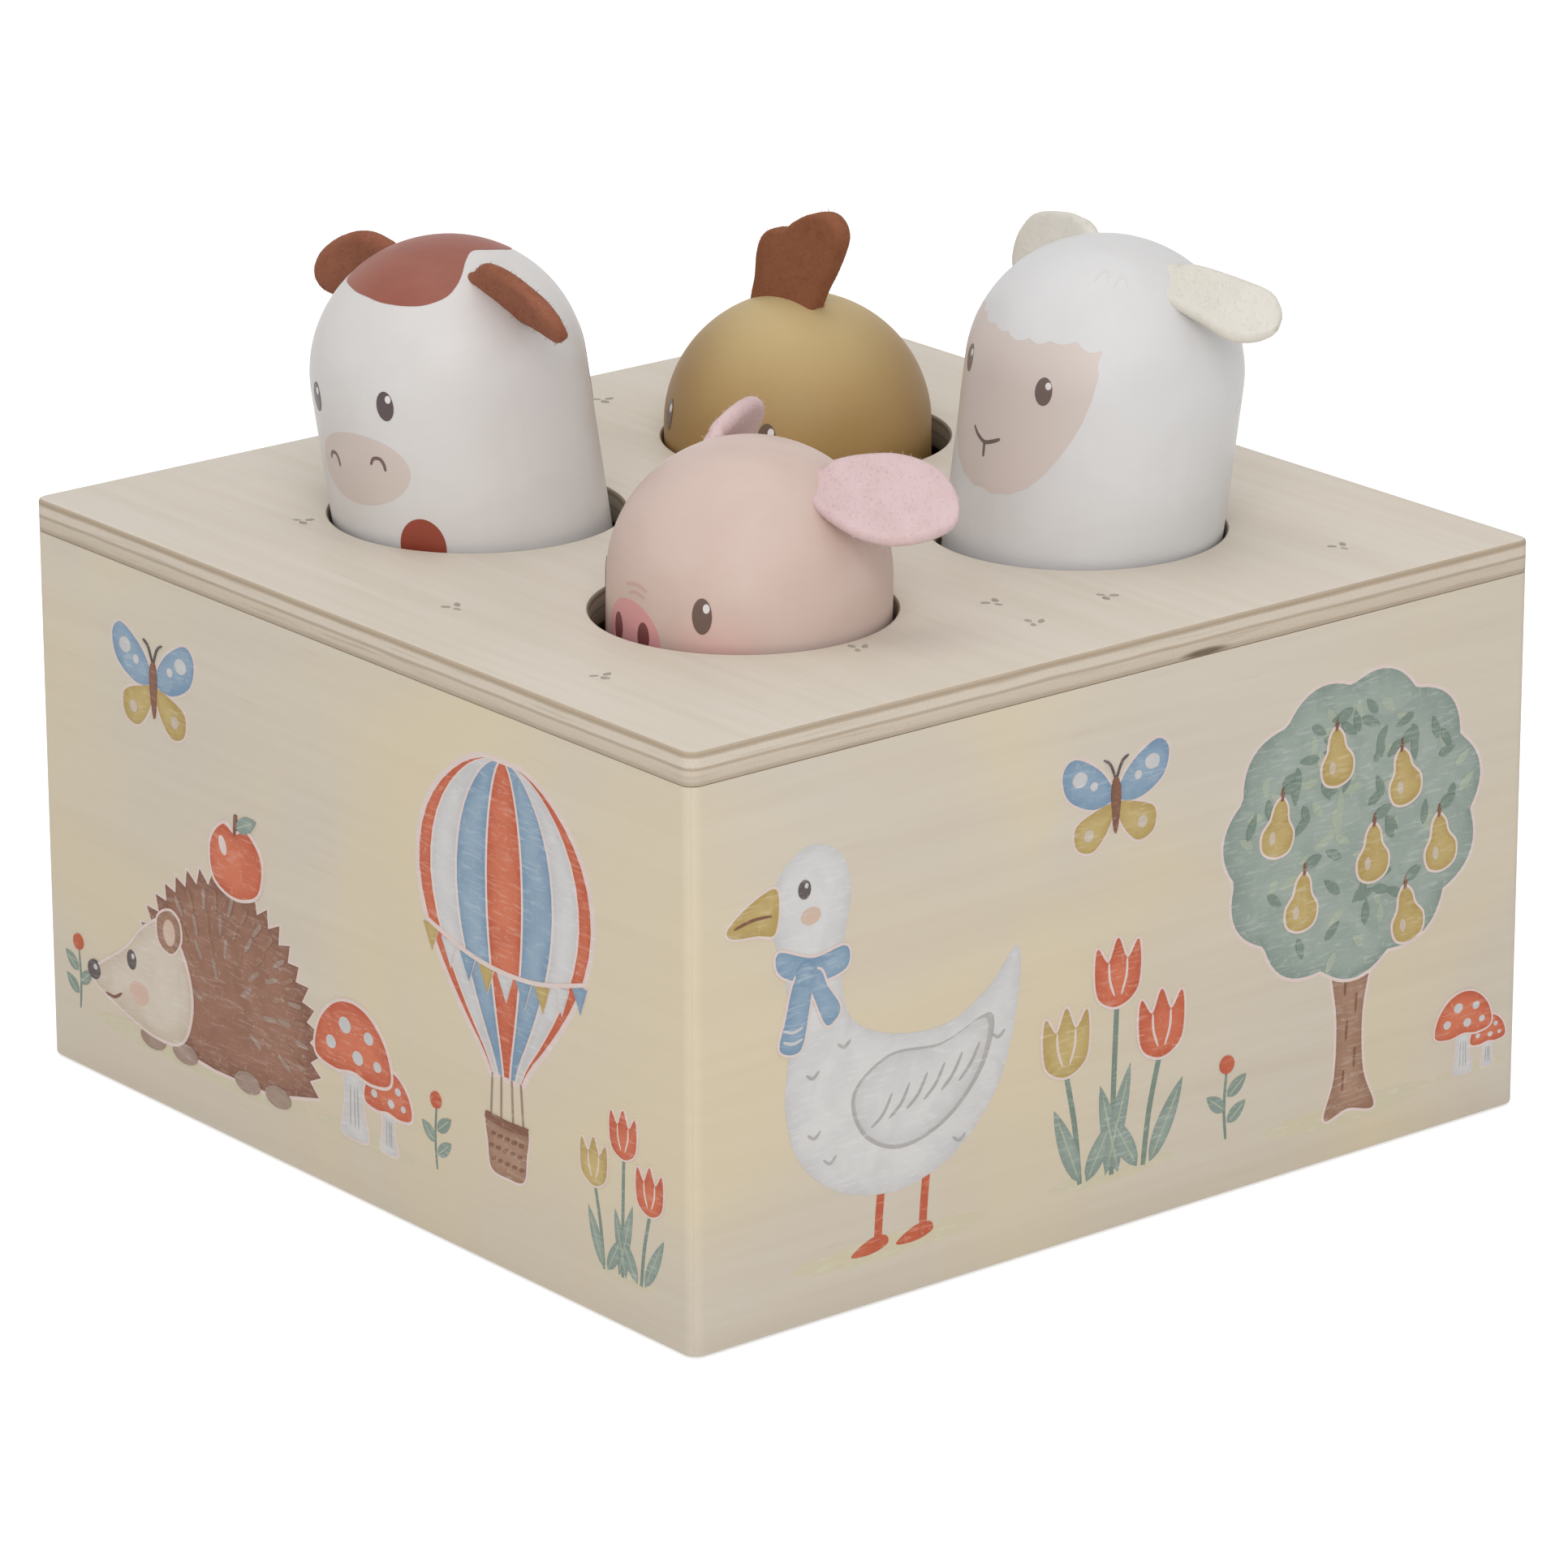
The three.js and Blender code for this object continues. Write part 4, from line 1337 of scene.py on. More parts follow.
@dataclass
class Box:
    """The plywood box: lid, four walls and base, with the printed designs on its walls."""

    side: float = 150.0
    wall_height: float = 79.0
    wall: float = 5.0
    seam: float = 0.3
    top: float = 84.0
    corner: float = 2.0
    ease: float = 0.5
    hole_radius: float = 21.0
    hole_pitch: float = 60.0
    print_step: float = 0.002
    grain_x: tuple[float, float, float] = (26.0, 640.0, 640.0)
    grain_y: tuple[float, float, float] = (640.0, 26.0, 640.0)
    wall_wood: tuple[Colour, Colour] = ((209, 199, 184), (202, 191, 175))

    def outline(self, inset: float, z: float, steps: int = 8) -> list[tuple[float, float, float]]:
        """The lid's rounded square, inset by a distance, at a height.

        Args:
            inset: how far it lies inside.
            z: its height.
            steps: pieces of each corner.

        Returns:
            Its points, anticlockwise.
        """
        half, radius = self.side / 2 - self.corner, self.corner - inset
        points = []
        for quarter, (sx, sy) in enumerate([(1, -1), (1, 1), (-1, 1), (-1, -1)]):
            for step in range(steps + 1):
                angle = math.radians(-90 + 90 * quarter + 90 * step / steps)
                points.append((sx * half + radius * math.cos(angle), sy * half + radius * math.sin(angle), z))
        return points

    def hole(self, x: float, y: float, radius: float, z: float, steps: int = 120) -> list:
        """A hole's circle, clockwise, so that its wall faces into it."""
        angles = [-2 * math.pi * k / steps for k in range(steps)]
        return [(x + radius * math.cos(a), y + radius * math.sin(a), z) for a in angles]

    def lid(self) -> None:
        """Builds the lid board with eased edges and its four holes."""
        bottom, ease = self.wall_height + self.seam, self.ease
        arc = [math.radians(90 * k / 4) for k in range(5)]
        levels = [(0.25 * ease * (1 - math.sin(a)), bottom + 0.25 * ease * (1 - math.cos(a))) for a in arc]
        levels += [(ease * (1 - math.cos(a)), self.top - ease + ease * math.sin(a)) for a in arc]
        half = self.hole_pitch / 2
        loops = [self.outline]
        for x, y in [(-half, -half), (half, -half), (half, half), (-half, half)]:
            loops.append(lambda inset, z, x=x, y=y: self.hole(x, y, self.hole_radius + inset, z))
        verts, faces, kinds, rims = [], [], [], []
        for loop in loops:
            made, strip = loft([loop(inset, z) for inset, z in levels], close=False)
            base = len(verts)
            count = len(made) // len(levels)
            verts += made
            rims.append((range(base, base + count), range(len(verts) - count, len(verts))))
            faces += [tuple(base + i for i in f) for f in strip]
            rows = [row for row in range(len(levels) - 1) for _ in range(count)]
            kinds += [(1 if loop is loops[0] else 2) if 1 <= row <= 7 else 0 for row in rows]
        for level, flip in ((0, True), (1, False)):
            order = [i for rim in rims for i in rim[level]]
            triangles = geometry.tessellate_polygon([[Vector(verts[i]) for i in rim[level]] for rim in rims])
            for t in triangles:
                ids = [order[i] for i in t]
                up = area([verts[i][:2] for i in ids]) > 0
                faces.append(tuple(ids) if up != flip else tuple(reversed(ids)))
                kinds.append(0)
        face = BoardFace("lid_face", self.grain_x).material()
        knot = (self.side / 2, 13.8, bottom + 0.5)
        edge = BoardEdge("lid_edge", 2, bottom, self.top - bottom, knot=knot).material()
        # Painted shade: the holes' walls take the edge's plies darkened, for the shade down in the holes.
        hole_shade_stops = tuple((place, tuple(round(c * 0.8 - 6) for c in colour)) for place, colour in BoardEdge.stops)
        bore = BoardEdge("lid_hole_edge", 2, bottom, self.top - bottom, hole_shade_stops).material()
        piece = make_piece("lid_board", verts, faces, [face, edge, bore], kinds, sharp=50)
        dress(piece, "box", "plywood", ["lid_plate"])

    def wall_board(self, side: str, quarter: int) -> None:
        """Builds one wall, mitred at both ends.

        Args:
            side: the wall's side of the box.
            quarter: quarter turns from the front wall's place.
        """
        half, outer, radius, gap = self.side / 2, -self.side / 2, self.corner, 0.005
        inner = outer + self.wall

        def ring(inset: float, z: float) -> list:
            """The wall's plan at a height.

            Args:
                inset: how far it lies inside.
                z: its height.

            Returns:
                Its points, anticlockwise.
            """
            mitre, turn = 45 - math.degrees(math.asin(gap / radius)), radius - inset
            points = []
            for sign, start in ((-1, 270 - mitre), (1, 270)):
                centre = sign * (half - radius)
                for step in range(9):
                    a = math.radians(start + mitre * step / 8)
                    points.append((centre + turn * math.cos(a), outer + radius + turn * math.sin(a), z))
            back = half - self.wall - gap * math.sqrt(2.0)
            return [*points, (back - inset, inner - inset, z), (inset - back, inner - inset, z)]

        top = self.wall_height + self.seam - 0.08
        levels = [(0.35, 0.0), (0.1, 0.1), (0.0, 0.35), (0.0, top - 0.12), (0.08, top)]
        verts, faces = loft([ring(inset, z) for inset, z in levels])
        turn = Matrix.Rotation(math.radians(90 * quarter), 3, "Z")
        grain = self.grain_x if quarter % 2 == 0 else self.grain_y
        face = BoardFace(f"{side}_board_face", grain, *self.wall_wood, wash_share=0.42).material()
        start = {0: outer, 1: -inner, 2: -inner, 3: outer}[quarter]
        edge = BoardEdge(f"{side}_board_edge", 1 - quarter % 2, start, self.wall).material()
        kinds = []
        for f in faces:
            mid = np.mean([verts[i] for i in f], 0)
            level = mid[2] < 0.05 or mid[2] > top - 0.05
            end = abs(mid[0]) > half - self.wall and mid[1] > outer + radius
            kinds.append(1 if level or end else 0)
        piece = make_piece(f"{side}_board", [turn @ Vector(v) for v in verts], faces, [face, edge], kinds)
        dress(piece, "box", "plywood", [f"{side}_wall"])

    def base(self) -> None:
        """Dresses the base board's own solid."""
        node = frame["nodes"]["base_plate"]
        node.data.materials.clear()
        node.data.materials.append(BoardFace("base_face", self.grain_y).material())

    def print_wall(self, side: str, quarter: int) -> None:
        """Prints a wall's motifs on it, each as one piece.

        Args:
            side: the wall's side of the box.
            quarter: quarter turns from the front wall's place.
        """
        turn = Matrix.Rotation(math.radians(90 * quarter), 3, "Z")
        for number, (motif, u, v, size, facing) in enumerate(LAYOUT[side]):
            drawn = motif()
            drawn.draw()

            def place(x: float, y: float, lift: float) -> Vector:
                """A point of the motif on the wall."""
                raised = lift - self.print_step * number
                return turn @ Vector((u + facing * size * x, -self.side / 2 - raised, v + size * y))

            piece = drawn.piece(f"{side}_print_{number + 1}_{motif.__name__.lower()}", place, facing < 0)
            dress(piece, "box", "plywood")

    def flecks(self) -> None:
        """Scatters small printed seeds over the lid with Geometry Nodes, clear of its holes."""
        seed = Motif()
        for x, y, angle in ((-1.0, 0.0, 20), (0.6, 1.0, 50), (0.7, -0.8, -10)):
            seed.oval(x, y, 0.66, 0.38, Ink.SEED, 1, angle)
        dab = seed.piece("seed", lambda x, y, lift: Vector((x, y, self.top + lift)), False)
        mesh = dab.data
        bpy.data.objects.remove(dab)
        sizes = {
            "Reach": (self.side - 12) * MM, "Seeds Per Square Metre": 5200.0,
            "Hole Pitch": self.hole_pitch / 2 * MM, "Clear Radius": (self.hole_radius + 3) * MM, "Seed": 23,
        }
        tree = Builder("lid_seeds", sizes)
        source = tree.source
        field_of = tree.add("GeometryNodeMeshGrid", {"Size X": source["Reach"], "Size Y": source["Reach"]})
        here = tree.add("ShaderNodeSeparateXYZ", {0: tree.add("GeometryNodeInputPosition").outputs[0]})
        scatter = tree.add("GeometryNodeDistributePointsOnFaces", {
            "Mesh": field_of.outputs[0], "Density": source["Seeds Per Square Metre"], "Seed": source["Seed"]})
        squares = []
        for axis in (0, 1):
            away = tree.math("SUBTRACT", tree.math("ABSOLUTE", here.outputs[axis]), source["Hole Pitch"])
            squares.append(tree.math("MULTIPLY", away, away))
        near = tree.math("LESS_THAN", tree.math("SQRT", tree.math("ADD", *squares)), source["Clear Radius"])
        bunches = tree.add("ShaderNodeTexNoise", {"Scale": 30.0, "Detail": 1.0}).outputs["Fac"]
        drop = tree.math("MAXIMUM", near, tree.math("LESS_THAN", bunches, 0.56))
        inputs = {"Geometry": scatter.outputs["Points"], "Selection": drop}
        kept = tree.add("GeometryNodeDeleteGeometry", inputs)
        spin = tree.spin((0, 0, 0), (0, 0, math.pi), source["Seed"])
        placed = tree.add("GeometryNodeInstanceOnPoints", {
            "Points": kept.outputs[0], "Instance": source["Geometry"], "Rotation": spin})
        made = tree.run(mesh, placed.outputs[0], print_material(Ink.SEED))
        dress(link_piece("lid_print_seeds", made), "box", "plywood")

    def build(self) -> None:
        """Builds the boards and prints on them."""
        self.lid()
        for quarter, side in enumerate(("front", "right", "back", "left")):
            self.wall_board(side, quarter)
            self.print_wall(side, quarter)
        self.base()
        self.flecks()


# Animals


@dataclass(frozen=True)
class Blank:
    """The turned blank that all four animals share, and the pieces under it."""

    radius: float = 19.5
    dome: float = 19.0
    apex: float = 44.5
    foot: float = -6.087
    bore_radius: float = 6.75
    bore_end: float = 7.913

    @property
    def shoulder(self) -> float:
        """Height where the dome begins."""
        return self.apex - self.dome

    def outline(self, steps: int = 40) -> list[Point]:
        """The blank's side from its apex down to its foot.

        Args:
            steps: pieces of the dome.

        Returns:
            Radii and heights.
        """
        angles = [math.radians(90 - 90 * k / steps) for k in range(steps + 1)]
        line = [(self.radius * math.cos(a), self.shoulder + self.dome * math.sin(a)) for a in angles]
        count = 18
        reach = self.foot - self.shoulder
        return line + [(self.radius, self.shoulder + reach * k / count) for k in range(1, count + 1)]

    def point(self, azimuth: float, height: float, lift: float = 0.0) -> Vector:
        """A point on the surface, or lifted off it.

        Args:
            azimuth: of the point.
            height: of the point.
            lift: off the surface.

        Returns:
            The point.
        """
        rise = min(max((height - self.shoulder) / self.dome, 0.0), 1.0)
        reach = self.radius * math.sqrt(1 - rise**2)
        out = Vector((reach / self.radius**2, 0, rise / self.dome)).normalized()
        flat, up = reach + out.x * lift, height + out.z * lift
        a = math.radians(azimuth)
        return Vector((flat * math.sin(a), -flat * math.cos(a), up))


BLANK = Blank()


class Wrap:
    """Unrolls a blank round its apex, so that any painted patch is a flat outline."""

    def __init__(self) -> None:
        """Measures the way down the blank's side."""
        line = np.array(BLANK.outline(400))
        self.way = np.concatenate([[0.0], np.cumsum(np.hypot(*np.diff(line, axis=0).T))])
        self.height = line[:, 1]

    def flat(self, azimuth: float, height: float) -> Point:
        """Plane coordinates of a place on the side."""
        way, a = float(np.interp(-height, -self.height, self.way)), math.radians(azimuth)
        return (way * math.sin(a), -way * math.cos(a))

    def place(self, x: float, y: float, lift: float) -> Vector:
        """The place of plane coordinates, lifted off the surface."""
        height = float(np.interp(math.hypot(x, y), self.way, self.height))
        return BLANK.point(math.degrees(math.atan2(x, -y)), height, lift)


WRAP = Wrap()


@dataclass(frozen=True)
class Ear:
    """A felt ear, which bends down on an even arc and is rolled about its middle line."""

    length: float
    width: float
    shares: tuple[Point, ...]
    root_azimuth: float
    root_depth: float
    roll: tuple[float, float]
    azimuth: tuple[float, float]
    slope: tuple[float, float]
    bend: tuple[float, float]
    cup: float = 0.5
    tab: float = 4.5
    thickness: float = 2.2
    sink: float = 1.5

    def mesh(self, left: bool, seed: int) -> tuple[list[Vector], list]:
        """Builds one ear in its animal's own frame.

        Args:
            left: whether it is the left one.
            seed: for the unevenness of the felt.

        Returns:
            Vertices and faces.
        """
        side, pick = (1, 0) if left else (-1, 1)
        bend, roll = math.radians(self.bend[pick]), math.radians(self.roll[pick]) * side
        arc = self.length / bend
        curve = np.array(smooth_line(self.shares, 16, closed=False))
        rows = [-self.tab / self.length * share for share in (1.0, 0.7, 0.4)] + [0.0]
        rows += [math.sin(math.pi / 2 * k / 30) * 0.5 + 0.5 * k / 30 for k in range(1, 31)]
        rings = []
        for share in rows:
            slope = bend * max(share, 0.0)
            middle = Vector((arc * math.sin(slope), 0, arc * (math.cos(slope) - 1)))
            if share < 0:
                middle.x = share * self.length
            c, s = math.cos(slope), math.sin(slope)
            across = Vector((math.sin(roll) * s, math.cos(roll), math.sin(roll) * c))
            along = Vector((c, 0, -s))
            out = along.cross(across).normalized()
            half = self.width / 2 * float(np.interp(max(share, 0.0), curve[:, 0], curve[:, 1]))
            half *= float(np.interp(share, [rows[0], rows[2], 0.0], [0.4, 0.85, 1.0]))
            thick = min(self.thickness / 2, half) * (1.0 if share < 0.9 else 1.0 - 3.5 * (share - 0.9))
            ring = []
            for w, t in self.section(half, thick):
                curl = self.cup * (1 - min(max(share, 0.0), 1.0)) ** 2 * (w / max(half, 0.1)) ** 2
                point = middle + across * w + out * (t + curl * (1 if share > 0 else 0))
                swell = noise.noise(point * 0.4 + Vector((seed, 0, 0))) * 0.09
                ring.append(point + out * (swell if t > 0 else -swell))
            rings.append(ring)
        verts, faces = loft(rings)
        angle = math.radians(self.azimuth[pick]) * side - math.pi / 2
        root = BLANK.point(self.root_azimuth * side, BLANK.apex - self.root_depth)
        level = Vector((root.x, root.y, 0)).normalized() * self.sink
        turn = Matrix.Translation(root - level) @ Matrix.Rotation(angle, 4, "Z")
        turn = turn @ Matrix.Rotation(math.radians(self.slope[pick]), 4, "Y")
        return [turn @ Vector(v) for v in verts], faces

    def section(self, half: float, thick: float) -> list[Point]:
        """The ear's cross-section: flat faces and round edges.

        Args:
            half: half its width.
            thick: half its thickness.

        Returns:
            Its points, anticlockwise.
        """
        straight = max(half - thick, 0.001)
        points = []
        for sign in (1, -1):
            for k in range(9):
                angle = math.radians(-90 + 180 * k / 8)
                points.append((sign * (straight + thick * math.cos(angle)), sign * thick * math.sin(angle)))
            for k in range(1, 8):
                points.append((sign * straight * (1 - 2 * k / 8), sign * thick))
        return points


@dataclass(frozen=True)
class SpringSeat:
    """What a spring stands on and what it pushes: a turned spigot in the base, and a turned cap."""

    nose_radius: float = 3.85
    cap_height: float = 8.0
    cap_rim: float = 2.0
    cap_rim_radius: float = 6.45
    cap_gap: float = 0.3
    pin_radius: float = 4.0
    pin_foot: float = 0.5
    flange_foot: float = 5.3
    flange_radius: float = 8.0
    flange_top: float = 7.3
    spigot_top: float = 17.3
    spring_foot: float = 7.95
    spring_head: float = 4.963
    easing: float = 0.7

    def cap(self) -> list[Point]:
        """The cap's profile, under the end of the animal's bore.

        Returns:
            Radii and heights.
        """
        nose, rim, top = self.nose_radius, self.cap_rim_radius, BLANK.bore_end - self.cap_gap
        foot, step = top - self.cap_height, top - self.cap_rim
        return eased([(0, foot), (nose, foot), (nose, step), (rim, step), (rim, top), (0, top)], self.easing)

    def spigot(self) -> list[Point]:
        """The spigot's profile, from its pin in the base up.

        Returns:
            Radii and heights.
        """
        pin, flange, nose = self.pin_radius, self.flange_radius, self.nose_radius
        levels = (self.pin_foot, self.flange_foot, self.flange_top, self.spigot_top)
        steps = zip((0, pin, flange, nose), levels, (pin, flange, nose, 0))
        return eased([(radius, z) for before, z, after in steps for radius in (before, after)], self.easing)


@dataclass(frozen=True)
class Fuzz:
    """Short loose fibres on felt, grown with Geometry Nodes; the density is per square metre."""

    density: float = 1.3e6
    length: float = 0.5
    radius: float = 0.022
    root: float = 0.1

    def grow(self, mesh: Mesh, material: Material, seed: int) -> Mesh:
        """Grows bent fibres on a felt mesh.

        Args:
            mesh: the felt, in metres.
            material: of the felt and its fibres.
            seed: for the scatter.

        Returns:
            The felt with its fibres.
        """
        tree = Builder("felt_fuzz", {
            "Fibres Per Square Metre": self.density, "Fibre Length": self.length * MM,
            "Fibre Radius": self.radius * MM, "Seed": seed,
        })
        source = tree.source
        scatter = tree.add("GeometryNodeDistributePointsOnFaces", {
            "Mesh": source["Geometry"], "Density": source["Fibres Per Square Metre"], "Seed": source["Seed"],
        })
        bends = []
        for out, up in ((0.15, 0.55), (0.6, 0.75)):
            reach = {k: tree.math("MULTIPLY", source["Fibre Length"], s) for k, s in ((0, out), (2, up))}
            bends.append(tree.add("ShaderNodeCombineXYZ", reach).outputs[0])
        hair = tree.add("GeometryNodeCurveQuadraticBezier", {
            "Resolution": 3, "Start": (0, 0, -self.root * MM), "Middle": bends[0], "End": bends[1],
        })
        turned = tree.add("FunctionNodeRotateRotation", {
            "Rotation": scatter.outputs["Rotation"],
            "Rotate By": tree.spin((-0.9, -0.9, 0.0), (0.9, 0.9, 2 * math.pi), 3),
        }, rotation_space="LOCAL")
        size = tree.add("FunctionNodeRandomValue", {"Min": 0.5, "Max": 1.2, "Seed": 5}, data_type="FLOAT")
        place = tree.add("GeometryNodeInstanceOnPoints", {
            "Points": scatter.outputs["Points"], "Instance": tree.tube(hair.outputs[0], 3, "Fibre Radius"),
            "Rotation": turned.outputs[0], "Scale": next(s for s in size.outputs if s.enabled),
        })
        joined = tree.add("GeometryNodeJoinGeometry")
        for grown in (place.outputs[0], source["Geometry"]):
            tree.link(grown, joined.inputs[0])
        return tree.run(mesh, joined.outputs[0], material)


@dataclass(frozen=True)
class Spring:
    """A compression spring with closed ends, wound with Geometry Nodes about a bent middle line.

    The pitch has places along the wire and the share of the spring's height that it reaches there.
    """

    turns: float = 9.0
    coil_radius: float = 5.1
    wire_radius: float = 0.35
    pitch: tuple[Point, ...] = ((0.12, 0.014), (0.2, 0.09), (0.8, 0.91), (0.88, 0.986))

    def wind(self, foot: Vector, head: Vector, axis: Vector, material: Material) -> Mesh:
        """Winds the spring from its foot to its head.

        Args:
            foot: middle of its foot, in millimetres.
            head: middle of its head.
            axis: the direction of its head.
            material: of the wire.

        Returns:
            The spring's mesh, in metres.
        """
        reach = head - foot
        handle = reach - axis * reach.length / 3
        tree = Builder("spring_winder", {
            "Turns": self.turns, "Coil Radius": self.coil_radius * MM, "Wire Radius": self.wire_radius * MM,
            "Height": reach.z * MM, "Foot": foot * MM, "Head Shift": Vector((reach.x, reach.y, 0)) * MM,
            "Handle Shift": Vector((handle.x, handle.y, 0)) * MM,
        })
        source = tree.source
        spiral = tree.add("GeometryNodeCurveSpiral", {
            "Resolution": 40, "Rotations": source["Turns"], "Start Radius": source["Coil Radius"],
            "End Radius": source["Coil Radius"], "Height": source["Height"],
        })
        along = tree.add("GeometryNodeSplineParameter").outputs["Factor"]
        pitch = tree.add("ShaderNodeFloatCurve", {"Value": along})
        curve = pitch.mapping.curves[0]
        curve.points[0].location, curve.points[1].location = (0.0, 0.0), (1.0, 1.0)
        for place in self.pitch:
            curve.points.new(*place)
        for point in curve.points:
            point.handle_type = "AUTO_CLAMPED"
        pitch.mapping.update()
        share = pitch.outputs[0]
        back = tree.math("SUBTRACT", 1.0, share)
        lean = tree.math("MULTIPLY", tree.math("MULTIPLY", 3.0, back), tree.math("POWER", share, 2.0))
        last = tree.times(source["Head Shift"], tree.math("POWER", share, 3.0))
        shift = tree.vector("ADD", tree.times(source["Handle Shift"], lean), last)
        shift = tree.vector("ADD", shift, source["Foot"])
        here = tree.add("ShaderNodeSeparateXYZ", {0: tree.add("GeometryNodeInputPosition").outputs[0]})
        level = tree.math("MULTIPLY", source["Height"], share)
        wound = tree.add("ShaderNodeCombineXYZ", {0: here.outputs[0], 1: here.outputs[1], 2: level})
        bent = tree.add("GeometryNodeSetPosition", {
            "Geometry": spiral.outputs[0], "Position": tree.vector("ADD", wound.outputs[0], shift),
        })
        wire = tree.tube(bent.outputs[0], 10, "Wire Radius")
        return tree.run(bpy.data.meshes.new("wire_blank"), wire, material)


@dataclass(frozen=True)
class Screw:
    """A countersunk wood screw with its head down, a cross recess and a rolled thread.

    The core is a share of the shank's radius, and the face lies that far below the animal's foot.
    """

    head_radius: float = 2.4
    head_depth: float = 1.6
    head_land: float = 0.12
    shank_radius: float = 1.15
    core: float = 0.78
    ridge: float = 0.3
    thread_pitch: float = 0.85
    length: float = 10.0
    tip: float = 2.2
    recess_reach: float = 1.25
    recess_half: float = 0.32
    recess_depth: float = 0.9
    face: float = 4.3
    count: int = 3

    def cross(self, angle: float) -> float:
        """Radius of the cross recess at an angle."""
        short, long = sorted((abs(math.cos(angle)), abs(math.sin(angle))))
        return min(self.recess_reach / long, self.recess_half / max(short, 1e-6))

    def thread(self, angle: float, z: float) -> float:
        """Radius with the thread's ridge at an angle and a height.

        Args:
            angle: round the axis.
            z: the height.

        Returns:
            The radius.
        """
        taper = min(1.0, (self.length - z) / self.tip + 0.12)
        turn = (z / self.thread_pitch - angle / (2 * math.pi)) % 1.0
        rise = self.ridge * max(0.0, 1 - abs(turn - 0.5) * 5)
        return (self.shank_radius * self.core + rise) * taper

    def mesh(self, segments: int = 36, rows: int = 70) -> Mesh:
        """Builds one screw.

        Args:
            segments: round its axis.
            rows: along its thread.

        Returns:
            The mesh, in metres.
        """
        head = self.head_radius
        levels = [
            (lambda a: self.cross(a) * 0.45, self.recess_depth), (self.cross, 0.02),
            (lambda a: head - self.head_land, 0.0), (lambda a: head, self.head_land),
            (lambda a: self.shank_radius, self.head_depth),
        ]
        for row in range(rows + 1):
            z = self.head_depth + (self.length - self.head_depth) * row / rows
            levels.append((lambda a, z=z: self.thread(a, z), z))
        angles = [2 * math.pi * k / segments for k in range(segments)]
        rings = [[(reach(a) * math.cos(a), reach(a) * math.sin(a), z) for a in angles] for reach, z in levels]
        verts, faces = loft(rings)
        mesh = bpy.data.meshes.new("screw_blank")
        mesh.from_pydata([Vector(v) * MM for v in verts], [], faces)
        return mesh

    def ring(self, material: Material) -> Mesh:
        """Sets the screws of a stop ring with Geometry Nodes, in the animal's own frame.

        Args:
            material: of the screws.

        Returns:
            All the screws, in metres.
        """
        radius = (BLANK.bore_radius + BLANK.radius) / 2
        tree = Builder("ring_of_screws", {
            "Count": self.count, "Circle Radius": radius * MM, "Foot": (BLANK.foot - self.face) * MM,
            "Seed": 11,
        })
        source = tree.source
        inputs = {"Vertices": source["Count"], "Radius": source["Circle Radius"]}
        circle = tree.add("GeometryNodeMeshCircle", inputs).outputs[0]
        down = tree.add("ShaderNodeCombineXYZ", {2: source["Foot"]}).outputs[0]
        level = tree.add("GeometryNodeSetPosition", {"Geometry": circle, "Offset": down})
        spin = tree.spin((0, 0, 0), (0, 0, 2 * math.pi), source["Seed"])
        placed = tree.add("GeometryNodeInstanceOnPoints", {
            "Points": level.outputs[0], "Instance": source["Geometry"], "Rotation": spin,
        })
        return tree.run(self.mesh(), placed.outputs[0], material)


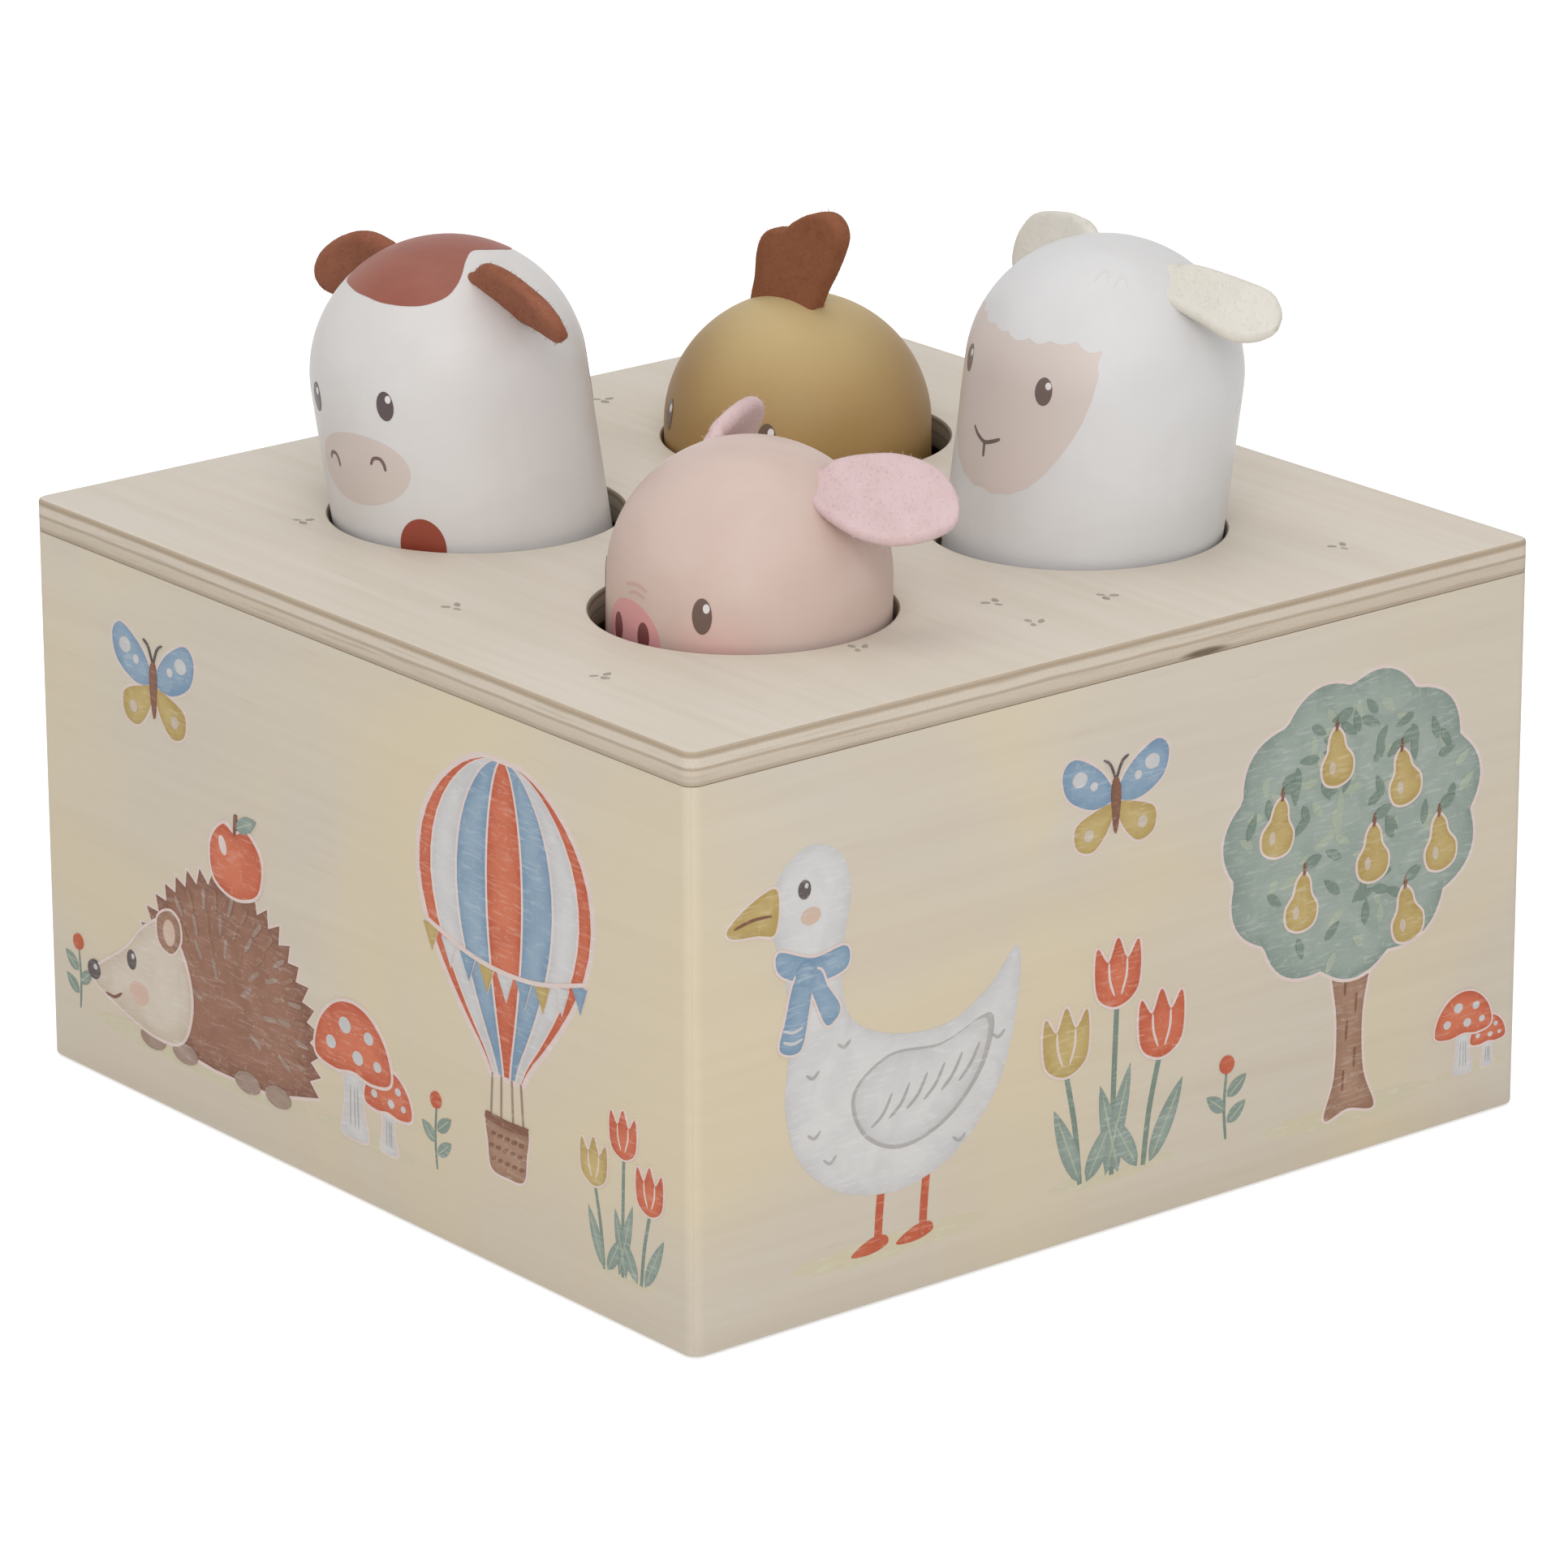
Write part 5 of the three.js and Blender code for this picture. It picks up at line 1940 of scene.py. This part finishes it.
@dataclass
class Animal:
    """One turned animal on its spring, with what holds it in the box."""

    name: str
    hole: Point
    drop: float
    yaw: float
    coat: Paint
    felt: Felt
    ear: Ear | None = None
    tints: tuple[Tint, ...] = ()
    face: float = 0.0
    seat: SpringSeat = SpringSeat()
    frame_of: Matrix = field(init=False)
    axis: Vector = field(init=False)
    origin: Vector = field(init=False)

    def __post_init__(self) -> None:
        """Finds the animal's place from its turning joint."""
        joint = next(j for j in frame["joints"] if j["name"] == f"{self.name}_turn")
        self.axis = Vector(joint["axis"]).normalized()
        self.origin = Vector(joint["pos_m"]) / MM - self.axis * self.drop
        lean = Vector((0, 0, 1)).rotation_difference(self.axis).to_matrix().to_4x4()
        turn = Matrix.Rotation(math.radians(self.yaw), 4, "Z")
        self.frame_of = Matrix.Translation(self.origin) @ lean @ turn

    def add(
        self, part: str, verts: Sequence[Vector], faces: Sequence, finish: Material,
        nodes: Sequence[str] = (), slot: str | None = None, body: str | None = None,
    ) -> None:
        """Makes a piece of the animal from points in its own frame.

        Args:
            part: the last words of the piece's name.
            verts: points in the animal's own millimetres.
            faces: over them.
            finish: its material.
            nodes: last words of the CAD nodes that it stands for.
            slot: its material slot, where it isn't the animal's paint.
            body: the body that it rides on, where it isn't the animal's own.
        """
        placed = [self.frame_of @ Vector(v) for v in verts]
        piece = make_piece(f"{self.name}_{part}", placed, faces, [finish])
        attribute = piece.data.attributes.new("own_place", "FLOAT_VECTOR", "POINT")
        own = np.array([tuple(v) for v in verts]) * MM
        attribute.data.foreach_set("vector", np.asarray(own, np.float32).ravel())
        slot = slot or f"{self.name}_paint"
        dress(piece, body or self.name, slot, [f"{self.name}_{node}" for node in nodes])

    def body(self) -> None:
        """Builds the turned and painted body with its bore."""
        side = list(reversed(BLANK.outline()))
        radius, bore, low, end = BLANK.radius, BLANK.bore_radius, BLANK.foot, BLANK.bore_end
        foot = eased([(bore, low), (radius, low), (radius, low + 2)], 0.8)
        profile = [(0.0, end), (bore, end), (bore, low + 0.3)] + foot[:-1] + side[1:]
        profile[-1] = (0.0, BLANK.apex)
        verts, faces = lathe(profile, 160)
        tints = tuple((BLANK.point(t.azimuth, t.height) * MM, t) for t in self.tints)
        self.add("turned_body", verts, faces, replace(self.coat, tints=tints).material(), ["body"])

    def patch(
        self, name: str, outline: Outline, finish: Paint, lift: float = 0.05, pitch: float = 0.9,
    ) -> None:
        """Paints a patch on the turned surface from azimuths off the face's middle, and heights."""
        flat = filled([WRAP.flat(a + self.face, h) for a, h in outline], pitch)
        self.add(name, *shell(*flat, WRAP.place, -0.03, lift), finish.material())

    def spot(self, azimuth: float, height: float, across: float, up: float, turn: float = 0.0) -> list[Point]:
        """An oval on the side as azimuths and heights, with its half sizes in millimetres."""
        wide = math.degrees(1 / math.hypot(*BLANK.point(azimuth, height).xy))
        return [(azimuth + x * wide, height + y) for x, y in ellipse(0, 0, across, up, 36, turn)]

    def line(self, points: Outline, width: float) -> list[Point]:
        """A brush line through azimuths and heights, round and thinner at its ends.

        Args:
            points: that it passes through.
            width: at its middle.

        Returns:
            Its outline.
        """
        wide = math.degrees(1 / math.hypot(*BLANK.point(*points[len(points) // 2]).xy))
        flat = np.array([(a / wide, h) for a, h in smooth_line(points, 8, closed=False)])
        half = width / 2 * np.sqrt(np.clip(1 - 0.75 * np.linspace(-1, 1, len(flat)) ** 4, 0.05, 1))
        return [(x * wide, y) for x, y in ribbon(flat, half)]

    def stroke(self, name: str, points: Outline, width: float, finish: Paint, lift: float = 0.08) -> None:
        """Paints a brush line through azimuths and heights."""
        self.patch(name, self.line(points, width), finish, lift, 0.5)

    def ears(self) -> None:
        """Builds both felt ears."""
        for seed, left in enumerate((True, False)):
            side = "left" if left else "right"
            verts, faces = self.ear.mesh(left, seed * 7 + len(self.name))
            self.fuzzy(f"{side}_felt_ear", verts, faces, f"{side}_ear", seed)

    def fuzzy(self, part: str, verts: Sequence[Vector], faces: Sequence, node: str, seed: int) -> None:
        """Makes a felt piece and grows short loose fibres on it.

        Args:
            part: the last words of the piece's name.
            verts: points in the animal's own millimetres.
            faces: over them.
            node: last words of the CAD node that it stands for.
            seed: for the fibres.
        """
        mesh = bpy.data.meshes.new("felt_blank")
        mesh.from_pydata([(self.frame_of @ Vector(v)) * MM for v in verts], [], faces)
        mesh.validate()
        mesh.polygons.foreach_set("use_smooth", [True] * len(mesh.polygons))
        piece = link_piece(f"{self.name}_{part}", Fuzz().grow(mesh, self.felt.material(), seed), 60)
        dress(piece, self.name, f"{self.name}_felt", [f"{self.name}_{node}"])

    def build(self) -> None:
        """Builds the whole animal."""
        self.body()
        if self.ear:
            self.ears()
        self.paint()
        self.mount()

    def paint(self) -> None:
        """Paints the face; each animal has its own."""

    def mount(self) -> None:
        """Builds the cap, the spigot, the spring and the ring's screws, and gives the ring its finish."""
        wood = TurnedWood(f"{self.name}_dowel").material()
        cap = lathe(self.seat.cap(), 64)
        self.add("turned_cap", *cap, wood, ["spring_cap"], "turned_wood", f"{self.name}_slider")
        verts, faces = lathe(self.seat.spigot(), 64)
        verts = [Vector(v) + Vector((*self.hole, 0)) for v in verts]
        piece = make_piece(f"{self.name}_turned_spigot", verts, faces, [wood])
        dress(piece, "box", "turned_wood", [f"{self.name}_spring_spigot"])
        self.spring()
        self.screws()
        ring = frame["nodes"][f"{self.name}_stop_ring"]
        ring.data.materials.clear()
        ring.data.materials.append(BoardFace(f"{self.name}_ring_face", (26.0, 640.0, 640.0)).material())

    def spring(self) -> None:
        """Winds the spring and stretches it between the box and its slider."""
        foot = Vector((*self.hole, self.seat.spring_foot))
        head = self.origin + self.axis * self.seat.spring_head
        mesh = Spring().wind(foot, head, self.axis, Steel(f"{self.name}_wire").material())
        piece = link_piece(f"{self.name}_wound_spring", mesh)
        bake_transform(piece)
        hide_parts(f"{self.name}_spring")
        log.info("%s: %d faces between box and %s_slider", piece.name, len(mesh.polygons), self.name)

    def screws(self) -> None:
        """Sets the three wood screws of the stop ring."""
        mesh = Screw().ring(Steel(f"{self.name}_screw_steel").material())
        mesh.transform(Matrix.Scale(1 / MM, 4))
        mesh.transform(self.frame_of)
        mesh.transform(Matrix.Scale(MM, 4))
        piece = link_piece(f"{self.name}_ring_screws", mesh, 30)
        dress(piece, self.name, "steel", [f"{self.name}_ring_screw_{k}" for k in (1, 2, 3)])


class Cow(Animal):
    """The white cow with a brown cap, a pink muzzle and a brown spot."""

    def paint(self) -> None:
        """Paints the cap, the muzzle, the nostrils, the spot and the eyes."""
        brown = Paint("cow_brown", (152, 90, 74), (134, 70, 55), 0.46)
        cap = [
            (-47, 40.8), (-40.6, 40.5), (-31.6, 40.4), (-11.3, 40.1), (5, 39.7), (16.7, 39.2), (29.4, 38.8),
            (40.4, 38.6), (49.5, 38.8), (57.9, 39.3), (65.6, 40.3), (72.6, 41.3), (83.2, 42.4), (101.8, 43.0),
            (117.5, 42.5), (130, 41.9), (143.5, 41.1), (160, 40.5), (178, 40.3), (-165, 40.4), (-148, 40.8),
            (-130, 41.4), (-112, 42.0), (-95, 42.4), (-78, 42.4), (-62, 41.7),
        ]
        flat = smooth_line([WRAP.flat(a + self.face, h) for a, h in cap], 4)
        self.add("cap_paint", *shell(*filled(flat, 0.8), WRAP.place, -0.03, 0.06), brown.material())
        muzzle = Paint("cow_muzzle", (208, 195, 187), (200, 186, 178))
        self.patch("muzzle_paint", self.spot(2.5, 16.7, 8.9, 5.2, -3), muzzle)
        nostril = Paint("cow_nostril", (120, 98, 94), (104, 84, 80))
        for name, centre in (("left", 14.2), ("right", -12.5)):
            hook = [(-3.6, 17.5), (-1.8, 18.4), (1.3, 18.4), (3.0, 17.6), (3.3, 16.6)]
            self.stroke(f"{name}_nostril_paint", [(centre + a, h) for a, h in hook], 0.52, nostril)
        rusty = Paint("cow_spot", (152, 72, 54), (140, 62, 44))
        self.patch("spot_paint", self.spot(29, 5.4, 3.4, 4.2), rusty, 0.06)
        self.patch("back_spot_paint", self.spot(158, 22, 6.5, 8.0, 20), brown, 0.06)
        self.patch("side_spot_paint", self.spot(-118, 9, 6.0, 6.5, -15), brown, 0.06)
        eyes(self, 22, 26.0, 1.3, 2.1, (88, 74, 76))


def eyes(animal: Animal, spread: float, height: float, across: float, up: float, colour: Colour) -> None:
    """Paints two dark oval eyes with a light spot at the upper outer side.

    Args:
        animal: whose eyes they are.
        spread: their azimuth off the face's middle.
        height: of their centres.
        across: half their width.
        up: half their height.
        colour: of the paint.
    """
    dark = Paint(f"{animal.name}_eye", colour, tuple(c - 14 for c in colour), 0.35)
    light = Paint(f"{animal.name}_glint", (226, 220, 220), (214, 208, 208))
    for name, azimuth in (("left", spread), ("right", -spread)):
        animal.patch(f"{name}_eye_paint", animal.spot(azimuth, height, across, up), dark, 0.08, 0.5)
        glint = animal.spot(azimuth + 1.8, height + up * 0.46, across * 0.34, up * 0.26)
        animal.patch(f"{name}_glint_paint", glint, light, 0.11, 0.4)


class Pig(Animal):
    """The pink pig with a snout and two nostrils."""

    def paint(self) -> None:
        """Paints the snout, the nostrils, the wrinkles, the mouth and the eyes."""
        snout = Paint("pig_snout", (216, 158, 157), (206, 144, 144))
        self.patch("snout_paint", self.spot(0, 19.6, 6.1, 5.6), snout)
        dark = Paint("pig_nostril", (124, 70, 68), (108, 58, 56))
        for name, azimuth in (("left", 8.6), ("right", -8.6)):
            self.patch(f"{name}_nostril_paint", self.spot(azimuth, 20.6, 1.15, 2.1), dark, 0.08, 0.5)
        fold = Paint("pig_fold", (200, 168, 159), (192, 159, 150))
        self.stroke("upper_fold_paint", [(-3, 27.2), (3.5, 27.6), (10, 27.1)], 0.45, fold, 0.06)
        self.stroke("lower_fold_paint", [(-1, 26.2), (4, 26.5), (9, 26.1)], 0.35, fold, 0.06)
        mouth = [(-9, 11.6), (-4, 10.6), (1, 10.4), (7, 11.0), (11, 12.2)]
        self.stroke("mouth_paint", mouth, 0.55, dark, 0.07)
        eyes(self, 36.3, 25.2, 1.4, 2.5, (112, 90, 83))


class Sheep(Animal):
    """The cream sheep with a tan face under a scalloped fringe."""

    def paint(self) -> None:
        """Paints the face, the nose, the mouth, the curls and the eyes."""
        side = [
            (46.5, 29.5), (45.3, 26.6), (42.5, 23), (38.6, 19.8), (34, 17), (29, 14.4), (23, 12.2),
            (15, 10.6), (6, 9.8),
        ]
        fringe = []
        edges = (46.5, 35, 22.5, 12, -1, -12, -24, -34, -46.5)
        for number, (first, last) in enumerate(zip(edges, edges[1:])):
            for step in range(6):
                share = step / 6
                sag = (0.6 + 0.15 * math.cos(number * 2.3)) * math.sin(math.pi * share)
                azimuth = first + (last - first) * share
                brow = float(np.interp(abs(azimuth), (0, 12, 22, 33, 46.5), (32.5, 32.7, 33.1, 33.8, 33.2)))
                fringe.append((azimuth, brow - sag))
        outline = side[::-1] + fringe + [(-a, h) for a, h in side]
        face = Paint("sheep_face", (207, 196, 189), (210, 196, 189))
        self.patch("face_paint", outline, face, 0.05, 0.8)
        dark = Paint("sheep_line", (112, 98, 94), (98, 84, 80))
        nose = [(-10.6, 18.0), (-7.4, 17.1), (-2.2, 16.5), (3.0, 17.1), (6.8, 17.8)]
        self.stroke("nose_paint", nose, 0.56, dark)
        self.stroke("mouth_paint", [(-2.2, 16.6), (-2.0, 15.6), (-1.8, 14.4)], 0.48, dark, 0.09)
        curl = Paint("sheep_curl", (213, 211, 210), (207, 205, 203))
        places = ((38, 41.6), (52, 41.2), (150, 38.5), (128, 24), (-122, 24), (170, 17), (-150, 33))
        for k, (azimuth, height) in enumerate(places):
            arc = [(azimuth + a, height + h) for a, h in ((-5, -0.6), (-2, 0.4), (3, 0.5), (5, -0.5))]
            self.patch(f"curl_{k + 1}_paint", self.line(arc, 0.3), curl, 0.04, 0.6)
        eyes(self, 24.7, 26.3, 1.3, 2.0, (112, 97, 92))


@dataclass
class Chicken(Animal):
    """The ochre chicken with a heart-shaped felt comb."""

    comb_shares: tuple[Point, ...] = (
        (0.18, 0.01), (0.33, 0.02), (0.37, 0.13), (0.44, 0.28), (0.52, 0.42), (0.62, 0.63), (0.67, 0.8),
        (0.63, 0.93), (0.51, 1.0), (0.31, 0.96), (0.13, 0.86), (0.02, 0.77), (-0.1, 0.75), (-0.2, 0.7),
        (-0.27, 0.61), (-0.31, 0.47), (-0.33, 0.27), (-0.37, 0.1), (-0.36, 0.02), (-0.19, 0.01),
    )
    comb_width: float = 18.0
    comb_height: float = 16.3
    comb_thickness: float = 3.0
    comb_aside: float = -1.0
    comb_forward: float = 1.0
    comb_sink: float = 2.5
    tab_width: float = 6.0
    tab_depth: float = 4.5
    rounding: float = 0.8

    def paint(self) -> None:
        """Paints the beak, the wattle and the eyes, and adds the comb."""
        beak = Paint("chicken_beak", (190, 116, 62), (172, 100, 50))
        upper = [
            (-9, 23.2), (-4.5, 25.2), (0, 25.9), (4.5, 25.2), (9, 23.2), (4.5, 21.8), (0, 21.2), (-4.5, 21.8),
        ]
        self.patch("beak_paint", smooth_line(upper, 5), beak)
        crease = Paint("chicken_crease", (140, 78, 38), (126, 68, 32))
        self.stroke("beak_line_paint", [(-7.5, 23.2), (-3, 22.9), (3, 22.9), (7.5, 23.2)], 0.4, crease)
        wattle = [
            (-6.5, 20.2), (-3, 20.8), (0, 19.8), (3, 20.8), (6.5, 20.2), (6.8, 17.4), (3.6, 15.4), (0, 17.2),
            (-3.6, 15.4), (-6.8, 17.4),
        ]
        red = Paint("chicken_wattle", (152, 84, 62), (134, 70, 50))
        self.patch("wattle_paint", smooth_line(wattle, 5), red)
        eyes(self, 30.5, 28.0, 1.4, 2.3, (104, 80, 66))
        self.comb()

    def comb(self) -> None:
        """Builds the comb as a thick sheet of felt with round edges."""
        foot = -self.comb_sink
        aside, wide, high = self.comb_aside, self.comb_width, self.comb_height
        lobes = [(aside + a * wide, foot + u * high) for a, u in self.comb_shares]
        outline = smooth_line(lobes, 6, closed=False)
        left, right = aside - self.tab_width / 2, aside + self.tab_width / 2
        outline = [(left, foot - self.tab_depth), (right, foot - self.tab_depth), *outline]
        curve = bpy.data.curves.new("comb_outline", "CURVE")
        curve.dimensions, curve.fill_mode = "2D", "BOTH"
        curve.extrude, curve.bevel_depth = self.comb_thickness / 2 - self.rounding, self.rounding
        curve.bevel_resolution, curve.offset = 3, -self.rounding
        spline = curve.splines.new("POLY")
        spline.points.add(len(outline) - 1)
        spline.points.foreach_set("co", [c for x, y in outline for c in (x, y, 0.0, 1.0)])
        spline.use_cyclic_u = True
        bench = place_object("bench", curve)
        mesh = plain_mesh(bench)
        bpy.data.objects.remove(bench)
        upright = Matrix(((1, 0, 0, 0), (0, 0, -1, -self.comb_forward), (0, 1, 0, BLANK.apex), (0, 0, 0, 1)))
        mesh.transform(upright)
        verts, faces = [v.co.copy() for v in mesh.vertices], [tuple(p.vertices) for p in mesh.polygons]
        self.fuzzy("felt_comb", verts, faces, "comb", 4)


# Studio


@dataclass
class Studio:
    """The camera, the lamps, the floor and the plain white background."""

    azimuth: float = 50.96
    elevation: float = 18.64
    roll: float = -0.139
    distance: float = 1134.15
    target: tuple[float, float, float] = (1.725, 0.0, 44.85)
    lens: float = 183.17
    world_strength: float = 0.52
    lamp_aim: tuple[float, float, float] = (0.0, 0.0, 0.05)
    lamp_size: float = 1.1
    front_power: float = 10.4
    top_power: float = 5.1
    floor_glow: float = 0.55

    def camera(self) -> None:
        """Sets the photograph's camera."""
        a, e = math.radians(self.azimuth), math.radians(self.elevation)
        back = Vector((math.sin(a) * math.cos(e), -math.cos(a) * math.cos(e), math.sin(e)))
        right = Vector((0, 0, 1)).cross(back).normalized()
        up = back.cross(right)
        r = math.radians(self.roll)
        right, up = right * math.cos(r) + up * math.sin(r), up * math.cos(r) - right * math.sin(r)
        turn = Matrix((right, up, back)).transposed().to_4x4()
        data = bpy.data.cameras.new("camera")
        data.lens, data.sensor_width, data.clip_start, data.clip_end = self.lens, 36.0, 0.05, 20.0
        camera = place_object("camera", data)
        camera.matrix_world = Matrix.Translation((Vector(self.target) + back * self.distance) * MM) @ turn
        bpy.context.scene.camera = camera

    def lamp(self, name: str, place: tuple[float, float, float], power: float) -> None:
        """Adds a soft square lamp that faces the toy.

        Args:
            name: its name.
            place: where it hangs, in metres.
            power: in watts.
        """
        data = bpy.data.lights.new(name, "AREA")
        data.size, data.energy = self.lamp_size, power
        way = Vector(place) - Vector(self.lamp_aim)
        aim = way.to_track_quat("Z", "Y").to_matrix().to_4x4()
        place_object(name, data).matrix_world = Matrix.Translation(place) @ aim

    def floor(self) -> None:
        """Lays a pale floor that looks white and keeps the toy's shadow."""
        reach = 3000.0
        verts = [(-reach, -reach, -0.4), (reach, -reach, -0.4), (reach, reach, -0.4), (-reach, reach, -0.4)]
        s = Shader("floor_paper", 0.9, 0.0)
        fibre = s.noise((60, 60, 60))
        s.colour(s.mix(fibre, (0.86, 0.86, 0.86, 1), (0.88, 0.88, 0.88, 1)))
        glow = s.add("ShaderNodeEmission", {"Color": (1, 1, 1, 1), "Strength": self.floor_glow})
        both = s.add("ShaderNodeAddShader", {0: s.surface.outputs[0], 1: glow.outputs[0]})
        pick = s.add("ShaderNodeMixShader", {0: s.seen(), 1: s.surface.outputs[0], 2: both.outputs[0]})
        s.link(pick.outputs[0], s.tree.nodes["Material Output"].inputs["Surface"])
        make_piece("floor", verts, [(0, 1, 2, 3)], [s.material])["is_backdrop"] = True

    def world(self) -> None:
        """Surrounds the toy with even light, white where it is seen."""
        world = bpy.data.worlds.new("studio")
        world.use_nodes = True
        nodes = Nodes(world.node_tree)
        background = nodes.tree.nodes["Background"].inputs
        background["Color"].default_value = (1, 1, 1, 1)
        inputs = {"Value": nodes.seen(), "To Min": self.world_strength, "To Max": 1.0}
        nodes.link(nodes.add("ShaderNodeMapRange", inputs).outputs["Result"], background["Strength"])
        bpy.context.scene.world = world

    def build(self) -> None:
        """Sets up the studio."""
        self.camera()
        self.world()
        self.floor()
        self.lamp("front_lamp", (1.05, -0.84, 0.84), self.front_power)
        self.lamp("top_lamp", (-0.1, 0.0, 1.5), self.top_power)
        bpy.context.scene.view_settings.view_transform = "Standard"


COW_LEAF = ((0.0, 0.56), (0.2, 0.98), (0.45, 0.98), (0.75, 0.82), (0.93, 0.53), (1.0, 0.18))
SHEEP_LEAF = ((0.0, 0.7), (0.2, 0.81), (0.45, 0.9), (0.75, 0.98), (0.93, 0.62), (1.0, 0.21))
PIG_LEAF = ((0.0, 0.48), (0.2, 0.8), (0.45, 1.0), (0.7, 0.93), (0.88, 0.6), (0.96, 0.33), (1.0, 0.1))


def animals() -> list[Animal]:
    """The four animals with their finishes.

    Returns:
        The animals, ready to build.
    """
    return [
        Cow(
            "cow", (-30.0, -30.0), 2.4, -8.0, Paint("cow_coat", (216, 213, 211), (208, 203, 200)),
            Felt("cow_felt", (150, 96, 74), (122, 72, 54), (176, 126, 102)),
            Ear(17.3, 10.2, COW_LEAF, 96, 5.6, (-60, -64), (101, 73), (-1, -7), (40, 46)), face=12.5,
        ),
        Pig(
            "pig", (30.0, -30.0), 18.3, 5.0, Paint("pig_coat", (209, 187, 177), (199, 174, 163)),
            Felt("pig_felt", (217, 192, 192), (207, 178, 178), (228, 210, 209)),
            Ear(
                20.0, 16.0, PIG_LEAF, 99.7, 4.8, (27.8, 53.4), (112.7, 147.3), (-4, 0.9), (21.5, 29.2),
                cup=0.9,
            ),
            tints=(Tint(32, 17, 11, (228, 172, 164), 0.75), Tint(-50, 17, 10, (224, 168, 160), 0.6)),
            face=-9.2,
        ),
        Sheep(
            "sheep", (30.0, 30.0), 0.0, -1.0, Paint("sheep_coat", (217, 216, 216), (207, 205, 204)),
            Felt("sheep_felt", (223, 218, 208), (212, 206, 194), (231, 228, 220)),
            Ear(17.6, 10.1, SHEEP_LEAF, 97, 3.7, (34, 72), (105, 100), (0, 11), (14, 22), cup=0.6), face=-1.0,
        ),
        Chicken(
            "chicken", (-30.0, 30.0), 21.0, 4.0,
            Paint("chicken_coat", (162, 128, 76), (148, 114, 64), 0.5, 0.25),
            Felt("chicken_felt", (142, 90, 64), (116, 68, 46), (168, 116, 88)),
            # Painted light: the pale tint round the apex is a painted highlight, and the two dark tints on
            # the flanks are painted shade.
            tints=(
                Tint(0, 44.4, 33, (202, 180, 132), 0.95), Tint(-40, 33, 17, (138, 102, 56), 0.75),
                Tint(132, 33, 17, (140, 106, 66), 0.55),
            ),
            face=3.0,
        ),
    ]


def corners() -> list[list[float]]:
    """The shown model's box as plain lists."""
    low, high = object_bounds()
    return [list(low), list(high)]


def main() -> None:
    """Builds the studio, the box and the animals."""
    logging.basicConfig(level=logging.INFO, format="%(name)s %(message)s")
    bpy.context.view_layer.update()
    Studio().build()
    Box().build()
    for animal in animals():
        animal.build()


if __name__ == "__main__":
    main()
